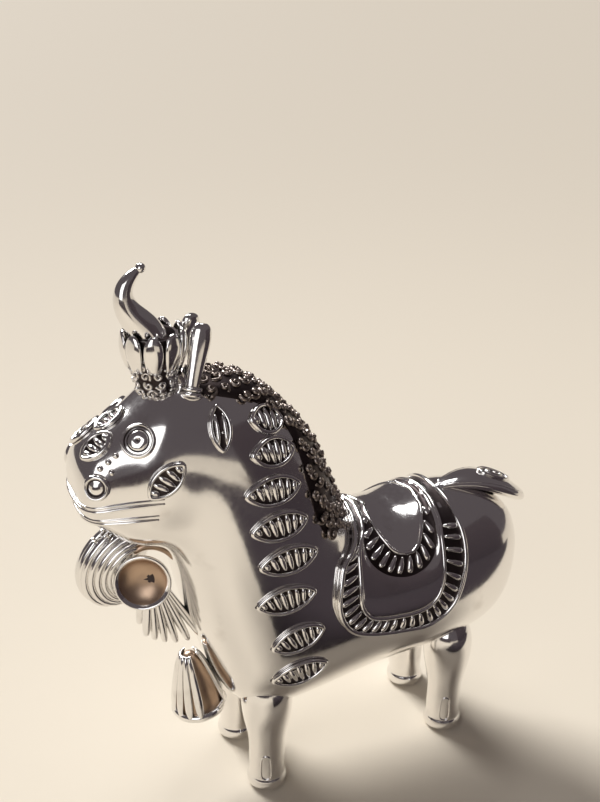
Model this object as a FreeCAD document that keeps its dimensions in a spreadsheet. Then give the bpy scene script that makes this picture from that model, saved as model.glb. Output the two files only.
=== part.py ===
import FreeCAD, Part
import Sketcher
import math
import os

# A small silver bull: a hollow body raised in two halves and soldered along the middle,
# four post legs, a horn that rises from a petalled cup, and relief ornament laid on the skin.
# It faces -X, its left side is -Y and it stands on z = 0. The origin is the middle of its
# footprint. All sizes are millimetres.

V = FreeCAD.Vector
LEFT = V(0, -1, 0)
UP = V(0, 0, 1)

SIZES = {
    "body_length": 110.4,
    "crest_height": 108.0,
    "body_width": 36.0,
    "wall": 1.1,
    "leg_spread": 19.2,
    "leg_spacing": 50.0,
    "leg_root_height": 30.0,
    "sole_radius": 4.1,
    "hoof_radius": 4.9,
    "hoof_height": 3.2,
    "shank_radius": 4.4,
    "thigh_radius": 6.3,
    "bulb_root_radius": 3.3,
    "bulb_radius": 5.2,
    "bulb_height": 8.6,
    "cup_radius": 6.5,
    "cup_height": 5.2,
    "cup_wall": 0.9,
    "cup_petals": 10,
    "horn_radius": 4.2,
    "horn_rise": 17.5,
    "horn_tip_radius": 0.75,
    "horn_ball_radius": 1.05,
    "ear_length": 15.0,
    "ear_half_width": 1.75,
    "ear_collar_radius": 2.2,
    "eye_radius": 3.4,
    "eye_rim_width": 0.8,
    "eyeball_radius": 2.3,
    "nostril_radius": 2.9,
    "nostril_rim_width": 0.9,
    "nostril_disc_radius": 1.5,
    "relief": 0.9,
    "fine_relief": 0.5,
    "bead_radius": 0.7,
    "lip_width": 0.9,
    "leaf_rim_width": 0.6,
    "leaf_rib_width": 0.9,
    "neck_leaf_width": 6.2,
    "mane_depth": 1.3,
    "curl_radius": 2.3,
    "curl_height": 2.9,
    "cloth_depth": 0.8,
    "cord_width": 1.1,
    "cord_depth": 0.8,
    "rib_width": 1.3,
    "tail_half_width": 6.6,
    "tail_depth": 3.4,
    "dish_radius": 6.4,
    "dish_depth": 2.6,
    "dish_wall": 0.8,
    "bell_radius": 6.2,
    "bell_length": 17.0,
    "bell_wall": 0.8,
}

doc = FreeCAD.newDocument("bull")
sizes = doc.addObject("Spreadsheet::Sheet", "sizes")
for row, (alias, value) in enumerate(SIZES.items(), start=1):
    sizes.set("A%d" % row, alias)
    sizes.set("B%d" % row, str(value))
    sizes.setAlias("B%d" % row, alias)
doc.recompute()

nodes = []


def size(alias):
    return float(sizes.get(alias))


# The outline was drawn at these sizes, and is stretched to the ones in the sheet.
DRAWN_LENGTH = 110.4
DRAWN_HEIGHT = 108.0
DRAWN_WIDTH = 36.0
STRETCH_X = size("body_length") / DRAWN_LENGTH
STRETCH_Y = size("body_width") / DRAWN_WIDTH
STRETCH_Z = size("crest_height") / DRAWN_HEIGHT


def spot(x, z, y=0.0):
    """A place of the drawn outline, on the stretched body."""
    return V(x * STRETCH_X, y * STRETCH_Y, z * STRETCH_Z)


# Sections of the body from nose to rump: underside x and z, topline x and z, half width.
SECTIONS = [
    (-57.0, 82.5, -57.2, 91.5, 5.0),
    (-55.6, 79.2, -54.6, 95.0, 8.3),
    (-51.8, 75.5, -49.6, 98.6, 9.8),
    (-47.2, 71.6, -43.8, 102.2, 11.3),
    (-42.5, 69.8, -37.6, 106.0, 12.6),
    (-38.8, 67.2, -29.0, 105.8, 13.4),
    (-36.2, 60.0, -20.5, 104.0, 14.6),
    (-34.0, 50.0, -11.6, 96.4, 16.0),
    (-30.2, 37.0, -3.8, 85.6, 17.2),
    (-24.0, 23.5, 0.8, 73.6, 18.0),
    (-12.0, 21.5, 8.5, 65.2, 18.0),
    (6.0, 24.0, 22.0, 65.0, 17.4),
    (23.0, 25.0, 35.0, 65.4, 17.2),
    (39.5, 27.5, 44.8, 62.8, 15.2),
    (47.6, 34.0, 50.6, 58.0, 10.8),
    (51.6, 41.0, 52.6, 53.5, 4.8),
]
FULLNESS = 2.3
BELLY_SHARE = 0.08


def section_point(section, angle, out):
    """A point of a body section, out being how far it stands off the drawn skin."""
    low = spot(section[0], section[1])
    high = spot(section[2], section[3])
    upward = high - low
    half_height = upward.Length / 2 + out
    upward.normalize()
    half_width = section[4] * STRETCH_Y + out
    rise = math.copysign(abs(math.sin(angle)) ** (2 / FULLNESS), math.sin(angle))
    spread = math.copysign(abs(math.cos(angle)) ** (2 / FULLNESS), math.cos(angle))
    spread *= 1 - BELLY_SHARE * math.sin(angle)
    return (low + high) * 0.5 + upward * (half_height * rise) + LEFT * (half_width * spread)


def closed(ring):
    """Straight sides through a ring of points."""
    return Part.makePolygon(ring + ring[:1])


SECTION_POINTS = 10


def section_ring(section, out, push=0.0):
    ring = []
    for step in range(SECTION_POINTS):
        angle = 2 * math.pi * step / SECTION_POINTS - math.pi / 2
        ring.append(section_point(section, angle, out) + V(push, 0, 0))
    return ring


def section_wire(section, out, push):
    """A section as one smooth closed curve."""
    shares = [step / SECTION_POINTS for step in range(SECTION_POINTS + 1)]
    curve = Part.BSplineCurve()
    curve.interpolate(Points=section_ring(section, out, push), PeriodicFlag=True, Parameters=shares)
    return Part.Wire([curve.toShape()])


def skin_solid(out):
    """The whole body as one solid, its skin moved outwards by out."""
    wires = []
    for index, section in enumerate(SECTIONS):
        push = 0.0
        if index == 0:
            push = -out
        if index == len(SECTIONS) - 1:
            push = out
        wires.append(section_wire(section, out, push))
    return Part.makeLoft(wires, True, False)


skins = {}
layers = {}


def skin(out):
    key = round(out, 4)
    if key not in skins:
        skins[key] = skin_solid(out)
    return skins[key]


def layer(inner, outer):
    """The sheet of space between two offsets of the skin."""
    key = (round(inner, 4), round(outer, 4))
    if key not in layers:
        layers[key] = skin(outer).cut(skin(inner))
    return layers[key]


def solid_of(shape):
    solids = shape.Solids
    if len(solids) == 1:
        return solids[0]
    return Part.makeCompound(solids)


def feature(name, shape, place=None):
    """A sub-part whose shape is worked out from the sheet."""
    item = doc.addObject("Part::Feature", name)
    item.Label = name
    item.Shape = solid_of(shape)
    if place is not None:
        item.Placement = place
    return item


def keep(item, name):
    item.Label = name
    nodes.append(item)
    return item


def mirrored(item, name):
    """The right-hand copy of a left-hand sub-part."""
    twin = doc.addObject("Part::Mirroring", name)
    twin.Source = item
    twin.Normal = LEFT
    return keep(twin, name)


def pair(item, stem):
    keep(item, stem + "_left")
    mirrored(item, stem + "_right")


# Places on the skin


def hit(start, end):
    """Where a line from outside first meets the skin, with the outward normal there."""
    inside = skin(0).common(Part.makeLine(start, end))
    point = min((vertex.Point for vertex in inside.Vertexes), key=lambda p: (p - start).Length)
    total = V(0, 0, 0)
    for strip in skin(0).Faces:
        u, v = strip.Surface.parameter(point)
        if (strip.Surface.value(u, v) - point).Length < 0.001:
            normal = strip.normalAt(u, v)
            total = total + (normal if normal.dot(end - start) < 0 else normal * -1)
    total.normalize()
    return point, total


def turned_place(point, normal, turn):
    """A frame on the skin: Z outwards, X in the side view at a turn above the rear."""
    angle = math.radians(turn)
    along = V(math.cos(angle), 0, math.sin(angle))
    along = along - normal * along.dot(normal)
    along.normalize()
    across = normal.cross(along)
    return FreeCAD.Placement(point, FreeCAD.Rotation(along, across, normal, "ZXY"))


def on_side(x, z, turn=0.0):
    """A frame on the left skin at a place of the side view."""
    place = spot(x, z)
    point, normal = hit(place + LEFT * size("body_width"), place)
    return turned_place(point, normal, turn)


def on_top(x, turn=0.0):
    """A frame on the topline."""
    place = spot(x, 0)
    point, normal = hit(place + UP * 2 * size("crest_height"), place + UP * 40 * STRETCH_Z)
    return turned_place(point, normal, turn)


def station(share):
    """The section at a share of the way from nose to rump, between the drawn ones."""
    where = share * (len(SECTIONS) - 1)
    index = min(int(where), len(SECTIONS) - 2)
    mix = where - index
    pairs = zip(SECTIONS[index], SECTIONS[index + 1])
    return [a + (b - a) * mix for a, b in pairs]


def on_crest(share, lean):
    """A frame on the crest, lean degrees down its left side."""
    section = station(share)
    low = spot(section[0], section[1])
    high = spot(section[2], section[3])
    upward = high - low
    upward.normalize()
    angle = math.radians(lean)
    way = upward * math.cos(angle) + LEFT * math.sin(angle)
    middle = high - upward * section[4] * STRETCH_Y
    point, normal = hit(middle + way * 60, middle)
    return turned_place(point, normal, -45)


# Shapes laid on the skin

REACH = 6.0


def raised(outline, place, inner, outer):
    """A flat outline in a skin frame, raised to a layer that follows the skin."""
    face = Part.Face(outline)
    prism = face.extrude(V(0, 0, 2 * REACH))
    prism.translate(V(0, 0, -REACH))
    prism.Placement = place.multiply(prism.Placement)
    return prism.common(layer(inner, outer))


def through(face, inner, outer):
    """A side-view face, cut through both flanks of a layer."""
    depth = size("body_width")
    prism = face.extrude(V(0, 2 * depth, 0))
    prism.translate(V(0, -depth, 0))
    return prism.common(layer(inner, outer))


def oval(half_long, half_wide, corners=16, height=0.0):
    """A round or oval outline of straight sides, flat about Z."""
    ring = []
    for step in range(corners):
        angle = 2 * math.pi * step / corners
        ring.append(V(half_long * math.cos(angle), half_wide * math.sin(angle), height))
    return closed(ring)


def knob(profile, corners):
    """A small raised form about Z with flat sides, from pairs of radius and height."""
    rings = [oval(radius, radius, corners, height) for radius, height in profile]
    return Part.makeLoft(rings, True, True)


def almond(length, width, inset=0.0):
    """A leaf outline of two shallow curves that meet in a point at each end."""
    half = length / 2 - inset * length / width
    rise = width / 2 - inset
    shares = (-1, -0.7, -0.35, 0, 0.35, 0.7)
    ring = [V(half * share, rise * (1 - share * share), 0) for share in shares]
    ring += [V(-half * share, -rise * (1 - share * share), 0) for share in shares]
    return closed(ring)


def leaf(place, length, width, ribs, slant):
    """A leaf in relief: a low pan, a raised rim and ribs across it."""
    rim_width = size("leaf_rim_width")
    low = size("fine_relief")
    high = size("relief")
    pan = raised(almond(length, width), place, 0, low)
    band = Part.Face(almond(length, width)).cut(Part.Face(almond(length, width, rim_width)))
    rim = band.extrude(V(0, 0, 2 * REACH))
    bars = []
    pitch = (length - 4 * rim_width) / ribs
    for step in range(ribs):
        x = (step - (ribs - 1) / 2) * pitch
        reach = (width / 2 - rim_width / 2) * (1 - (2 * x / length) ** 2)
        half = size("leaf_rib_width") / 2
        lean = slant * reach
        corners = [V(x - lean, -reach, 0), V(x + half, 0, 0), V(x + lean, reach, 0), V(x - half, 0, 0)]
        bars.append(Part.Face(closed(corners)).extrude(V(0, 0, 2 * REACH)))
    tops = []
    for prism in (rim, Part.makeCompound(bars)):
        prism.translate(V(0, 0, -REACH))
        prism.Placement = place.multiply(prism.Placement)
        for solid in prism.Solids:
            tops += solid.common(layer(low, high)).Solids
    return pan.fuse(tops).removeSplitter()


def offset_points(points, offset):
    """Points moved sideways from the line through them, in the side view."""
    moved = []
    for index, point in enumerate(points):
        before = points[max(index - 1, 0)]
        after = points[min(index + 1, len(points) - 1)]
        along = after - before
        along.normalize()
        moved.append(point + V(-along.z, 0, along.x) * offset)
    return moved


def smooth_edge(points):
    curve = Part.BSplineCurve()
    curve.interpolate(Points=points)
    return curve.toShape()


def ring_across(point, along, half_across, half_up, corners):
    """A ring of straight sides, square to a line of the side view."""
    upward = LEFT.cross(along)
    upward.normalize()
    ring = []
    for step in range(corners):
        angle = 2 * math.pi * step / corners
        ring.append(point + LEFT * (half_across * math.cos(angle)) + upward * (half_up * math.sin(angle)))
    return closed(ring)


def band_face(points, width):
    """A side-view band of even width along a smooth line."""
    one = offset_points(points, width / 2)
    other = offset_points(points, -width / 2)
    ends = [Part.makeLine(one[-1], other[-1]), Part.makeLine(other[0], one[0])]
    return Part.Face(Part.Wire([smooth_edge(one), ends[0], smooth_edge(other[::-1]), ends[1]]))


# Turned pieces


def turned(name, corners):
    """A PartDesign body turned about Z from a half profile, its corners bound to the sheet."""
    body = doc.addObject("PartDesign::Body", name + "_turned")
    plane = [item for item in body.Origin.OriginFeatures if item.Role == "XZ_Plane"][0]
    sketch = body.newObject("Sketcher::SketchObject", name + "_profile")
    sketch.AttachmentSupport = [(plane, "")]
    sketch.MapMode = "FlatFace"
    points = []
    for across, up in corners:
        points.append(V(float(sizes.evalExpression(across)), float(sizes.evalExpression(up)), 0))
    count = len(points)
    for index in range(count):
        line = Part.LineSegment(points[index], points[(index + 1) % count])
        sketch.addGeometry(line)
    for index in range(count):
        joint = Sketcher.Constraint("Coincident", index, 2, (index + 1) % count, 1)
        sketch.addConstraint(joint)
    for index, (across, up) in enumerate(corners):
        bind(sketch, index, across, "DistanceX", points[index].x, -2)
        bind(sketch, index, up, "DistanceY", points[index].y, -1)
    spun = body.newObject("PartDesign::Revolution", name + "_spun")
    spun.Profile = sketch
    spun.ReferenceAxis = (sketch, ["V_Axis"])
    spun.Angle = 360
    doc.recompute()
    return body


def bind(sketch, index, expression, kind, value, axis):
    """Ties one coordinate of a profile corner to the sheet, or to an axis."""
    if expression == "0":
        sketch.addConstraint(Sketcher.Constraint("PointOnObject", index, 1, axis))
        return
    number = sketch.addConstraint(Sketcher.Constraint(kind, -1, 1, index, 1, value))
    label = "%s_%d" % (kind.lower(), index)
    sketch.renameConstraint(number, label)
    sketch.setExpression("Constraints." + label, sheet_names(expression))


def sheet_names(expression):
    """The same expression, as another object of the document writes it."""
    words = expression.replace("(", "( ").replace(")", " )").split(" ")
    return " ".join("sizes." + word if word in SIZES else word for word in words)


def cut_to_skin(item, name, tools):
    """A sub-part with its root trimmed to what carries it."""
    trimmed = doc.addObject("Part::Cut", name)
    trimmed.Base = item
    trimmed.Tool = tools[0]
    if len(tools) > 1:
        joined = doc.addObject("Part::MultiFuse", name + "_tools")
        joined.Shapes = tools
        trimmed.Tool = joined
    return trimmed


def notches(count, shift, half_width, depth, reach, top):
    """Tapered gaps round a rim at height top, which leave petals between them."""
    corners = [V(0, -half_width, top), V(0, -half_width * 0.8, top - depth * 0.6), V(0, 0, top - depth)]
    corners += [V(0, half_width * 0.8, top - depth * 0.6), V(0, half_width, top)]
    corners = [V(0, 0.1 * p.y, p.z) for p in corners] + [V(reach, p.y, p.z) for p in corners]
    narrow, wide = closed(corners[:5]), closed(corners[5:])
    cutters = []
    for step in range(count):
        cutter = Part.makeLoft([narrow, wide], True, True)
        cutter.rotate(V(0, 0, 0), UP, 360 * (step + shift) / count)
        cutters.append(cutter)
    return cutters


# The hollow body, in two soldered halves

outer_skin = doc.addObject("Part::Feature", "outer_skin")
outer_skin.Shape = skin(0)


def body_halves():
    wall = size("wall")
    wires = [closed(section_ring(section, -wall)) for section in SECTIONS[1:-1]]
    cavity = doc.addObject("Part::Feature", "cavity")
    cavity.Shape = Part.makeLoft(wires, True, True)
    shell = doc.addObject("Part::Cut", "shell")
    shell.Base = outer_skin
    shell.Tool = cavity
    side = doc.addObject("Part::Box", "left_side")
    side.setExpression("Length", "sizes.body_length * 2")
    side.setExpression("Width", "sizes.body_width")
    side.setExpression("Height", "sizes.crest_height * 2")
    side.setExpression("Placement.Base.x", "-sizes.body_length")
    side.setExpression("Placement.Base.y", "-sizes.body_width")
    left = doc.addObject("Part::Common", "left_half")
    left.Base = shell
    left.Tool = side
    pair(left, "body_shell")


def legs():
    corners = [
        ("0", "0"),
        ("sole_radius", "0"),
        ("hoof_radius", "hoof_height * 0.3"),
        ("hoof_radius", "hoof_height"),
        ("shank_radius", "hoof_height * 1.5"),
        ("shank_radius", "leg_root_height * 0.42"),
        ("thigh_radius * 0.5 + shank_radius * 0.5", "leg_root_height * 0.58"),
        ("thigh_radius", "leg_root_height * 0.72"),
        ("thigh_radius", "leg_root_height * 0.86"),
        ("thigh_radius * 0.8", "leg_root_height * 1.05"),
        ("thigh_radius * 0.3", "leg_root_height * 1.18"),
        ("0", "leg_root_height * 1.18"),
    ]
    for name, side in (("leg_front", -17.8), ("leg_rear", 32.2)):
        post = turned(name, corners)
        post.Placement.Base = V(side * STRETCH_X, -size("leg_spread") / 2, 0)
        pair(cut_to_skin(post, name, [outer_skin]), name)


# The horn, with its root bulb and its cup of petals, on the middle line of the head

BULB_ROOT = (-38.4, 101.5)


def horn():
    place = FreeCAD.Placement(spot(*BULB_ROOT), FreeCAD.Rotation())
    floor = 2.5 + size("bulb_height")
    bulb = turned("horn_bulb", [
        ("0", "0"),
        ("bulb_root_radius", "0"),
        ("bulb_root_radius", "2.5"),
        ("bulb_radius * 0.82", "2.5 + bulb_height * 0.4"),
        ("bulb_radius", "2.5 + bulb_height * 0.8"),
        ("bulb_radius", "2.5 + bulb_height"),
        ("0", "2.5 + bulb_height"),
    ])
    bulb.Placement = place
    keep(cut_to_skin(bulb, "horn_bulb", [outer_skin]), "horn_bulb")

    crown = turned("horn_cup", [
        ("horn_radius + 0.2", "0"),
        ("bulb_radius", "0"),
        ("cup_radius", "cup_height * 0.45"),
        ("cup_radius * 1.02", "cup_height * 0.8"),
        ("cup_radius * 0.97", "cup_height"),
        ("cup_radius * 0.97 - cup_wall", "cup_height"),
        ("cup_radius - cup_wall", "cup_height * 0.45"),
    ])
    petals = int(size("cup_petals"))
    gap = math.pi * size("cup_radius") / petals * 0.5
    rim = size("cup_height") * 1.02
    gaps = doc.addObject("Part::Feature", "petal_gaps")
    gaps.Shape = Part.makeCompound(notches(petals, 0, gap, rim * 0.45, size("cup_radius") * 1.3, rim))
    cup = doc.addObject("Part::Cut", "cup")
    cup.Base = crown
    cup.Tool = gaps
    cup.Placement = place.multiply(FreeCAD.Placement(V(0, 0, floor), FreeCAD.Rotation()))
    keep(cup, "horn_cup")

    rise = size("horn_rise")
    base = size("horn_radius")
    tip = size("horn_tip_radius")
    # forwards, share of the rise and share of the girth
    course = [(0, 0, 1.0), (-0.5, 0.115, 0.94), (-1.7, 0.3, 0.81), (-3.7, 0.41, 0.7), (-5.2, 0.53, 0.57)]
    course += [(-5.8, 0.63, 0.45), (-5.75, 0.72, 0.39), (-5.3, 0.81, 0.32), (-4.4, 0.89, 0.23)]
    course += [(-3.3, 0.96, 0.13), (-2.3, 1.0, 0.0)]
    line = [V(x, 0, share * rise) for x, share, _ in course]
    rings = []
    for index, point in enumerate(line):
        before = line[max(index - 1, 0)]
        after = line[min(index + 1, len(line) - 1)]
        along = UP if index == 0 else after - before
        radius = tip + (base - tip) * course[index][2]
        rings.append(ring_across(point, along, radius, radius, 16))
    ball = size("horn_ball_radius")
    low, high = 0.85 * ball, 0.4 * ball
    knot = knob([(ball / 2, -low), (ball, -high), (ball, high), (ball / 2, low)], 8)
    knot.translate(line[-1] + V(0.4, 0, 0.25))
    shape = Part.makeLoft(rings, True, True).fuse(knot).removeSplitter()
    stand = place.multiply(FreeCAD.Placement(V(0, 0, floor), FreeCAD.Rotation()))
    keep(feature("horn", shape, stand), "horn")


def ears():
    length = size("ear_length")
    half = size("ear_half_width")
    share = [(-0.12, 0.72), (0.1, 0.72), (0.5, 0.88), (0.8, 1.0), (0.95, 0.72), (1.0, 0.25)]
    rings = [oval(half * girth, half * girth * 0.7, 10, up * length) for up, girth in share]
    ear = Part.makeLoft(rings, True, True)
    collar = knob([(size("ear_collar_radius"), -0.6), (half * 0.8, 1.0)], 10)
    root = spot(-32.6, 104.4, -5.4)
    place = FreeCAD.Placement(root, FreeCAD.Rotation(UP, V(3.6, 2.4, 13.0)))
    whole = doc.addObject("Part::Feature", "ear_blank")
    whole.Shape = ear.fuse(collar).removeSplitter()
    whole.Placement = place
    pair(cut_to_skin(whole, "ear", [outer_skin]), "ear")


# The face

EYE = (-45.0, 97.3)
NOSTRIL = (-54.2, 89.0)
BEADS = [(-49.6, 94.9), (-51.2, 93.8), (-52.9, 92.7), (-51.0, 92.0)]


def ring_on_skin(name, x, z, radius, rim_width):
    hole = radius - rim_width
    band = Part.Face(oval(radius, radius)).cut(Part.Face(oval(hole, hole)))
    prism = band.extrude(V(0, 0, 2 * REACH))
    prism.translate(V(0, 0, -REACH))
    prism.Placement = on_side(x, z).multiply(prism.Placement)
    pair(feature(name, prism.common(layer(0, size("relief")))), name)


def dome_on_skin(name, x, z, radius, height):
    """A low round dome soldered to the skin."""
    dome = doc.addObject("Part::Feature", name + "_dome")
    dome.Shape = knob([(radius, -1.5), (radius, 0.3 * height), (0.6 * radius, height)], 12)
    dome.Placement = on_side(x, z)
    return cut_to_skin(dome, name, [outer_skin])


def face():
    ring_on_skin("eye_ring", EYE[0], EYE[1], size("eye_radius"), size("eye_rim_width"))
    eyeball = dome_on_skin("eyeball", EYE[0], EYE[1], size("eyeball_radius"), size("relief"))
    pair(eyeball, "eyeball")
    ring_on_skin("nostril_ring", *NOSTRIL, size("nostril_radius"), size("nostril_rim_width"))
    disc = dome_on_skin("nostril_disc", *NOSTRIL, size("nostril_disc_radius"), size("fine_relief"))
    pair(disc, "nostril_disc")

    radius = size("bead_radius")
    beads = []
    for x, z in BEADS:
        bead = knob([(radius, -radius), (radius, 0.3 * radius), (0.55 * radius, 0.9 * radius)], 8)
        bead.Placement = on_side(x, z)
        beads.append(bead)
    string = doc.addObject("Part::Feature", "beads")
    string.Shape = Part.makeCompound(beads)
    pair(cut_to_skin(string, "bead_row", [outer_skin]), "bead_row")

    high = size("relief")
    width = size("lip_width")
    upper = [spot(-48.6, 86.2), spot(-52.0, 85.2), spot(-55.5, 84.6), spot(-60.5, 84.2)]
    keep(feature("lip_upper", through(band_face(upper, width), 0, high)), "lip_upper")
    lower = [spot(-48.2, 82.6), spot(-50.6, 81.3), spot(-53.8, 80.9), spot(-58.5, 80.8)]
    keep(feature("lip_lower", through(band_face(lower, width), 0, high)), "lip_lower")

    pair(feature("nose_leaf", leaf(on_side(-52.5, 96.0, 34), 7.6, 4.6, 4, 0.2)), "nose_leaf")
    pair(feature("cheek_leaf", leaf(on_side(-40.8, 89.6, 41), 10.0, 5.0, 5, 0.3)), "cheek_leaf")
    keep(feature("forehead_leaf", leaf(on_top(-48.3), 7.0, 4.2, 4, 0.0)), "forehead_leaf")


def side_locks():
    """The lobed lock that hangs behind each cheek."""
    place = on_side(-28.6, 98.2, 88)
    outline = almond(11.0, 4.6)
    low = raised(outline, place, 0, size("relief"))
    bars = []
    for y in (-0.9, 0.9):
        bar = Part.makeBox(6.5, 0.7, 2 * REACH, V(-3.9, y - 0.35, -REACH))
        bar.Placement = place.multiply(bar.Placement)
        bars.append(bar.common(layer(size("relief"), size("relief") + size("fine_relief"))))
    pair(feature("side_lock", low.fuse(bars).removeSplitter()), "side_lock")


# Neck leaves: centre in the side view, length and turn above the rear
NECK_LEAVES = [
    (-17.4, 97.2, 9.5, -3),
    (-17.2, 91.0, 11.8, 0),
    (-18.3, 83.3, 14.0, 0),
    (-17.4, 75.2, 14.0, 3),
    (-15.6, 66.8, 14.6, 4),
    (-16.4, 57.2, 14.4, 5),
    (-13.8, 46.4, 13.2, 14),
    (-13.1, 36.6, 13.8, 12),
]


def neck_leaves():
    solids = []
    for x, z, length, turn in NECK_LEAVES:
        solids.append(leaf(on_side(x, z, turn), length, size("neck_leaf_width"), 6, 0.12))
    pair(feature("neck_leaves", Part.makeCompound(solids)), "neck_leaves")


# The mane: a strip over the crest, with curls in three rows

MANE_EDGE = [(-29.0, 103.4), (-20.5, 101.6), (-13.5, 96.0), (-10.6, 89.5), (-9.6, 82.0)]
MANE_EDGE += [(-8.0, 74.0), (-4.6, 66.5)]
CURL_STATIONS = [4.75 + 0.42 * step for step in range(12)]


def mane():
    depth = size("mane_depth")
    edge = [spot(x, z) for x, z in MANE_EDGE]
    corners = [edge[-1], spot(20, 66.5), spot(20, 125), spot(-29, 125), edge[0]]
    strip = Part.Face(Part.Wire([smooth_edge(edge), Part.makePolygon(corners)]))
    ridge = through(strip, 0, depth)
    keep(feature("mane_ridge", ridge), "mane_ridge")
    rows = {"centre": [], "left": []}
    for index, where in enumerate(CURL_STATIONS):
        share = where / (len(SECTIONS) - 1)
        rows["centre"].append(on_crest(share, 0))
        if index < len(CURL_STATIONS) - 1:
            rows["left"].append(on_crest(share + 0.2 / (len(SECTIONS) - 1), 33))
    for row, places in rows.items():
        curls = []
        for place in places:
            radius = size("curl_radius")
            curl = knob([(radius, 0), (radius * 0.6, size("curl_height"))], 10)
            curl.Placement = place
            curls.append(curl.cut(skin(depth)))
        shape = feature("mane_curls_" + row, Part.makeCompound(curls))
        if row == "centre":
            keep(shape, "mane_curls_crest")
        else:
            pair(shape, "mane_curls")
    return depth


TASSEL = [(-5.2, 76.0), (-4.2, 72.4), (-3.6, 68.8), (-0.6, 72.0), (0.2, 68.6)]


def mane_tassels():
    """The beaded end of the mane, just before the saddle cloth."""
    beads = []
    for x, z in TASSEL:
        bead = knob([(1.6, 0), (0.9, 1.5 + size("mane_depth"))], 8)
        bead.Placement = on_side(x, z)
        beads.append(bead.cut(skin(size("mane_depth"))))
    pair(feature("mane_tassel", Part.makeCompound(beads)), "mane_tassel")


# The saddle cloth and its cords, drawn in the side view from the front of the back round
# the low edge to the rear

CLOTH_EDGE = [(3.2, 72), (-2.7, 62), (-4.2, 52.5), (-0.6, 43.6), (12.5, 39.9), (25.4, 41.5)]
CLOTH_EDGE += [(30.5, 51.5), (31.3, 61), (30.6, 72)]
MIDDLE_LINE = [(8.6, 72), (3.4, 63), (2.3, 56), (2.0, 47.4), (9.5, 45.0), (19.0, 44.9)]
MIDDLE_LINE += [(23.8, 49.5), (24.9, 60), (28.0, 72)]
RIB_LINE = [(9.6, 72), (6.0, 63), (5.4, 57.6), (9.5, 54.4), (14.7, 53.2), (20.0, 53.9)]
RIB_LINE += [(23.2, 57.0), (24.2, 62), (27.0, 72)]
SEAT_LINE = [(12.0, 72), (10.2, 64), (11.3, 60.0), (14.4, 58.2), (18.0, 58.3), (21.0, 61.0)]
SEAT_LINE += [(23.2, 65), (24.4, 72)]


def places(outline):
    return [spot(x, z) for x, z in outline]


def point_at(outline, share):
    """A point at a share of the way along a smooth line of the side view."""
    curve = Part.BSplineCurve()
    curve.interpolate(Points=places(outline))
    return curve.value(curve.parameterAtDistance(share * curve.length(), curve.FirstParameter))


def rib_row(outer_line, inner_line, count, start, end, low, high):
    """Wedge ribs from one line to another, as separate strips fused on one row."""
    half = size("rib_width") / 2
    ribs = []
    for step in range(count):
        share = start + (end - start) * step / (count - 1)
        foot = point_at(outer_line, share)
        head = point_at(inner_line, share)
        along = point_at(outer_line, share + 0.01) - foot
        along.normalize()
        reach = head - foot
        foot = foot + reach * 0.12
        head = head - reach * 0.08
        narrow = along * half * 0.5
        corners = [foot - along * half, foot + along * half, head + narrow, head - narrow]
        ribs.append(Part.Face(closed(corners)).extrude(LEFT * size("body_width")))
    return Part.makeCompound(Part.makeCompound(ribs).common(layer(low, high)).Solids)


def saddle():
    cloth = size("cloth_depth")
    cord = cloth + size("cord_depth")
    edge = places(CLOTH_EDGE)
    face = Part.Face(Part.Wire([smooth_edge(edge), Part.makeLine(edge[-1], edge[0])]))
    sheet = through(face, 0, cloth)
    keep(feature("saddle_cloth", sheet), "saddle_cloth")
    width = size("cord_width")
    border = band_face(offset_points(edge, width / 2), width)
    keep(feature("border_cord", through(border, cloth, cord)), "border_cord")
    middle = band_face(places(MIDDLE_LINE), width)
    keep(feature("middle_cord", through(middle, cloth, cord)), "middle_cord")
    seat = band_face(places(SEAT_LINE), width * 0.8)
    keep(feature("seat_cord", through(seat, cloth, cord)), "seat_cord")
    high = cloth + size("cord_depth") * 0.8
    outer = rib_row(CLOTH_EDGE, MIDDLE_LINE, 24, 0.13, 0.86, cloth, high)
    pair(feature("border_ribs", outer), "border_ribs")
    inner = rib_row(RIB_LINE, SEAT_LINE, 11, 0.2, 0.8, cloth, high)
    pair(feature("seat_ribs", inner), "seat_ribs")


# The tail, folded forward over the rump


def tail():
    half = size("tail_half_width")
    depth = size("tail_depth")
    # place along the tail, height of its middle, share of the width and of the depth
    line = [(30.5, 64.9, 0.05, 0.1), (36.0, 65.3, 0.42, 0.5), (43.0, 64.6, 0.85, 0.8)]
    line += [(49.5, 61.4, 1.0, 1.0), (54.6, 58.2, 0.72, 0.9), (57.0, 56.8, 0.2, 0.3)]
    rings = []
    for index, (x, z, wide, thick) in enumerate(line):
        before = line[max(index - 1, 0)]
        after = line[min(index + 1, len(line) - 1)]
        along = spot(after[0], after[1]) - spot(before[0], before[1])
        rise = depth * thick / 2
        rings.append(ring_across(spot(x, z), along, max(half * wide, rise), rise, 12))
    pad = Part.makeLoft(rings, True, False)
    blank = doc.addObject("Part::Feature", "tail_blank")
    blank.Shape = pad
    cloth = doc.addObject("Part::Feature", "cloth_top")
    cloth.Shape = skin(0)
    folded = cut_to_skin(blank, "tail", [cloth])
    keep(folded, "tail")
    doc.recompute()
    ring = Part.Face(oval(4.6, 2.6)).cut(Part.Face(oval(3.9, 1.9))).extrude(V(0, 0, 8))
    ring.translate(spot(47.6, 60))
    raised_pad = pad.copy()
    raised_pad.translate(V(0.3, 0, 0.7))
    curl = ring.common(raised_pad).cut(pad)
    keep(feature("tail_curl", curl), "tail_curl")


# The chest ornament: a ribbon, a flower of two dishes, a pleated fall and a bell

FLOWER = (-44.2, 62.0)


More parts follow.
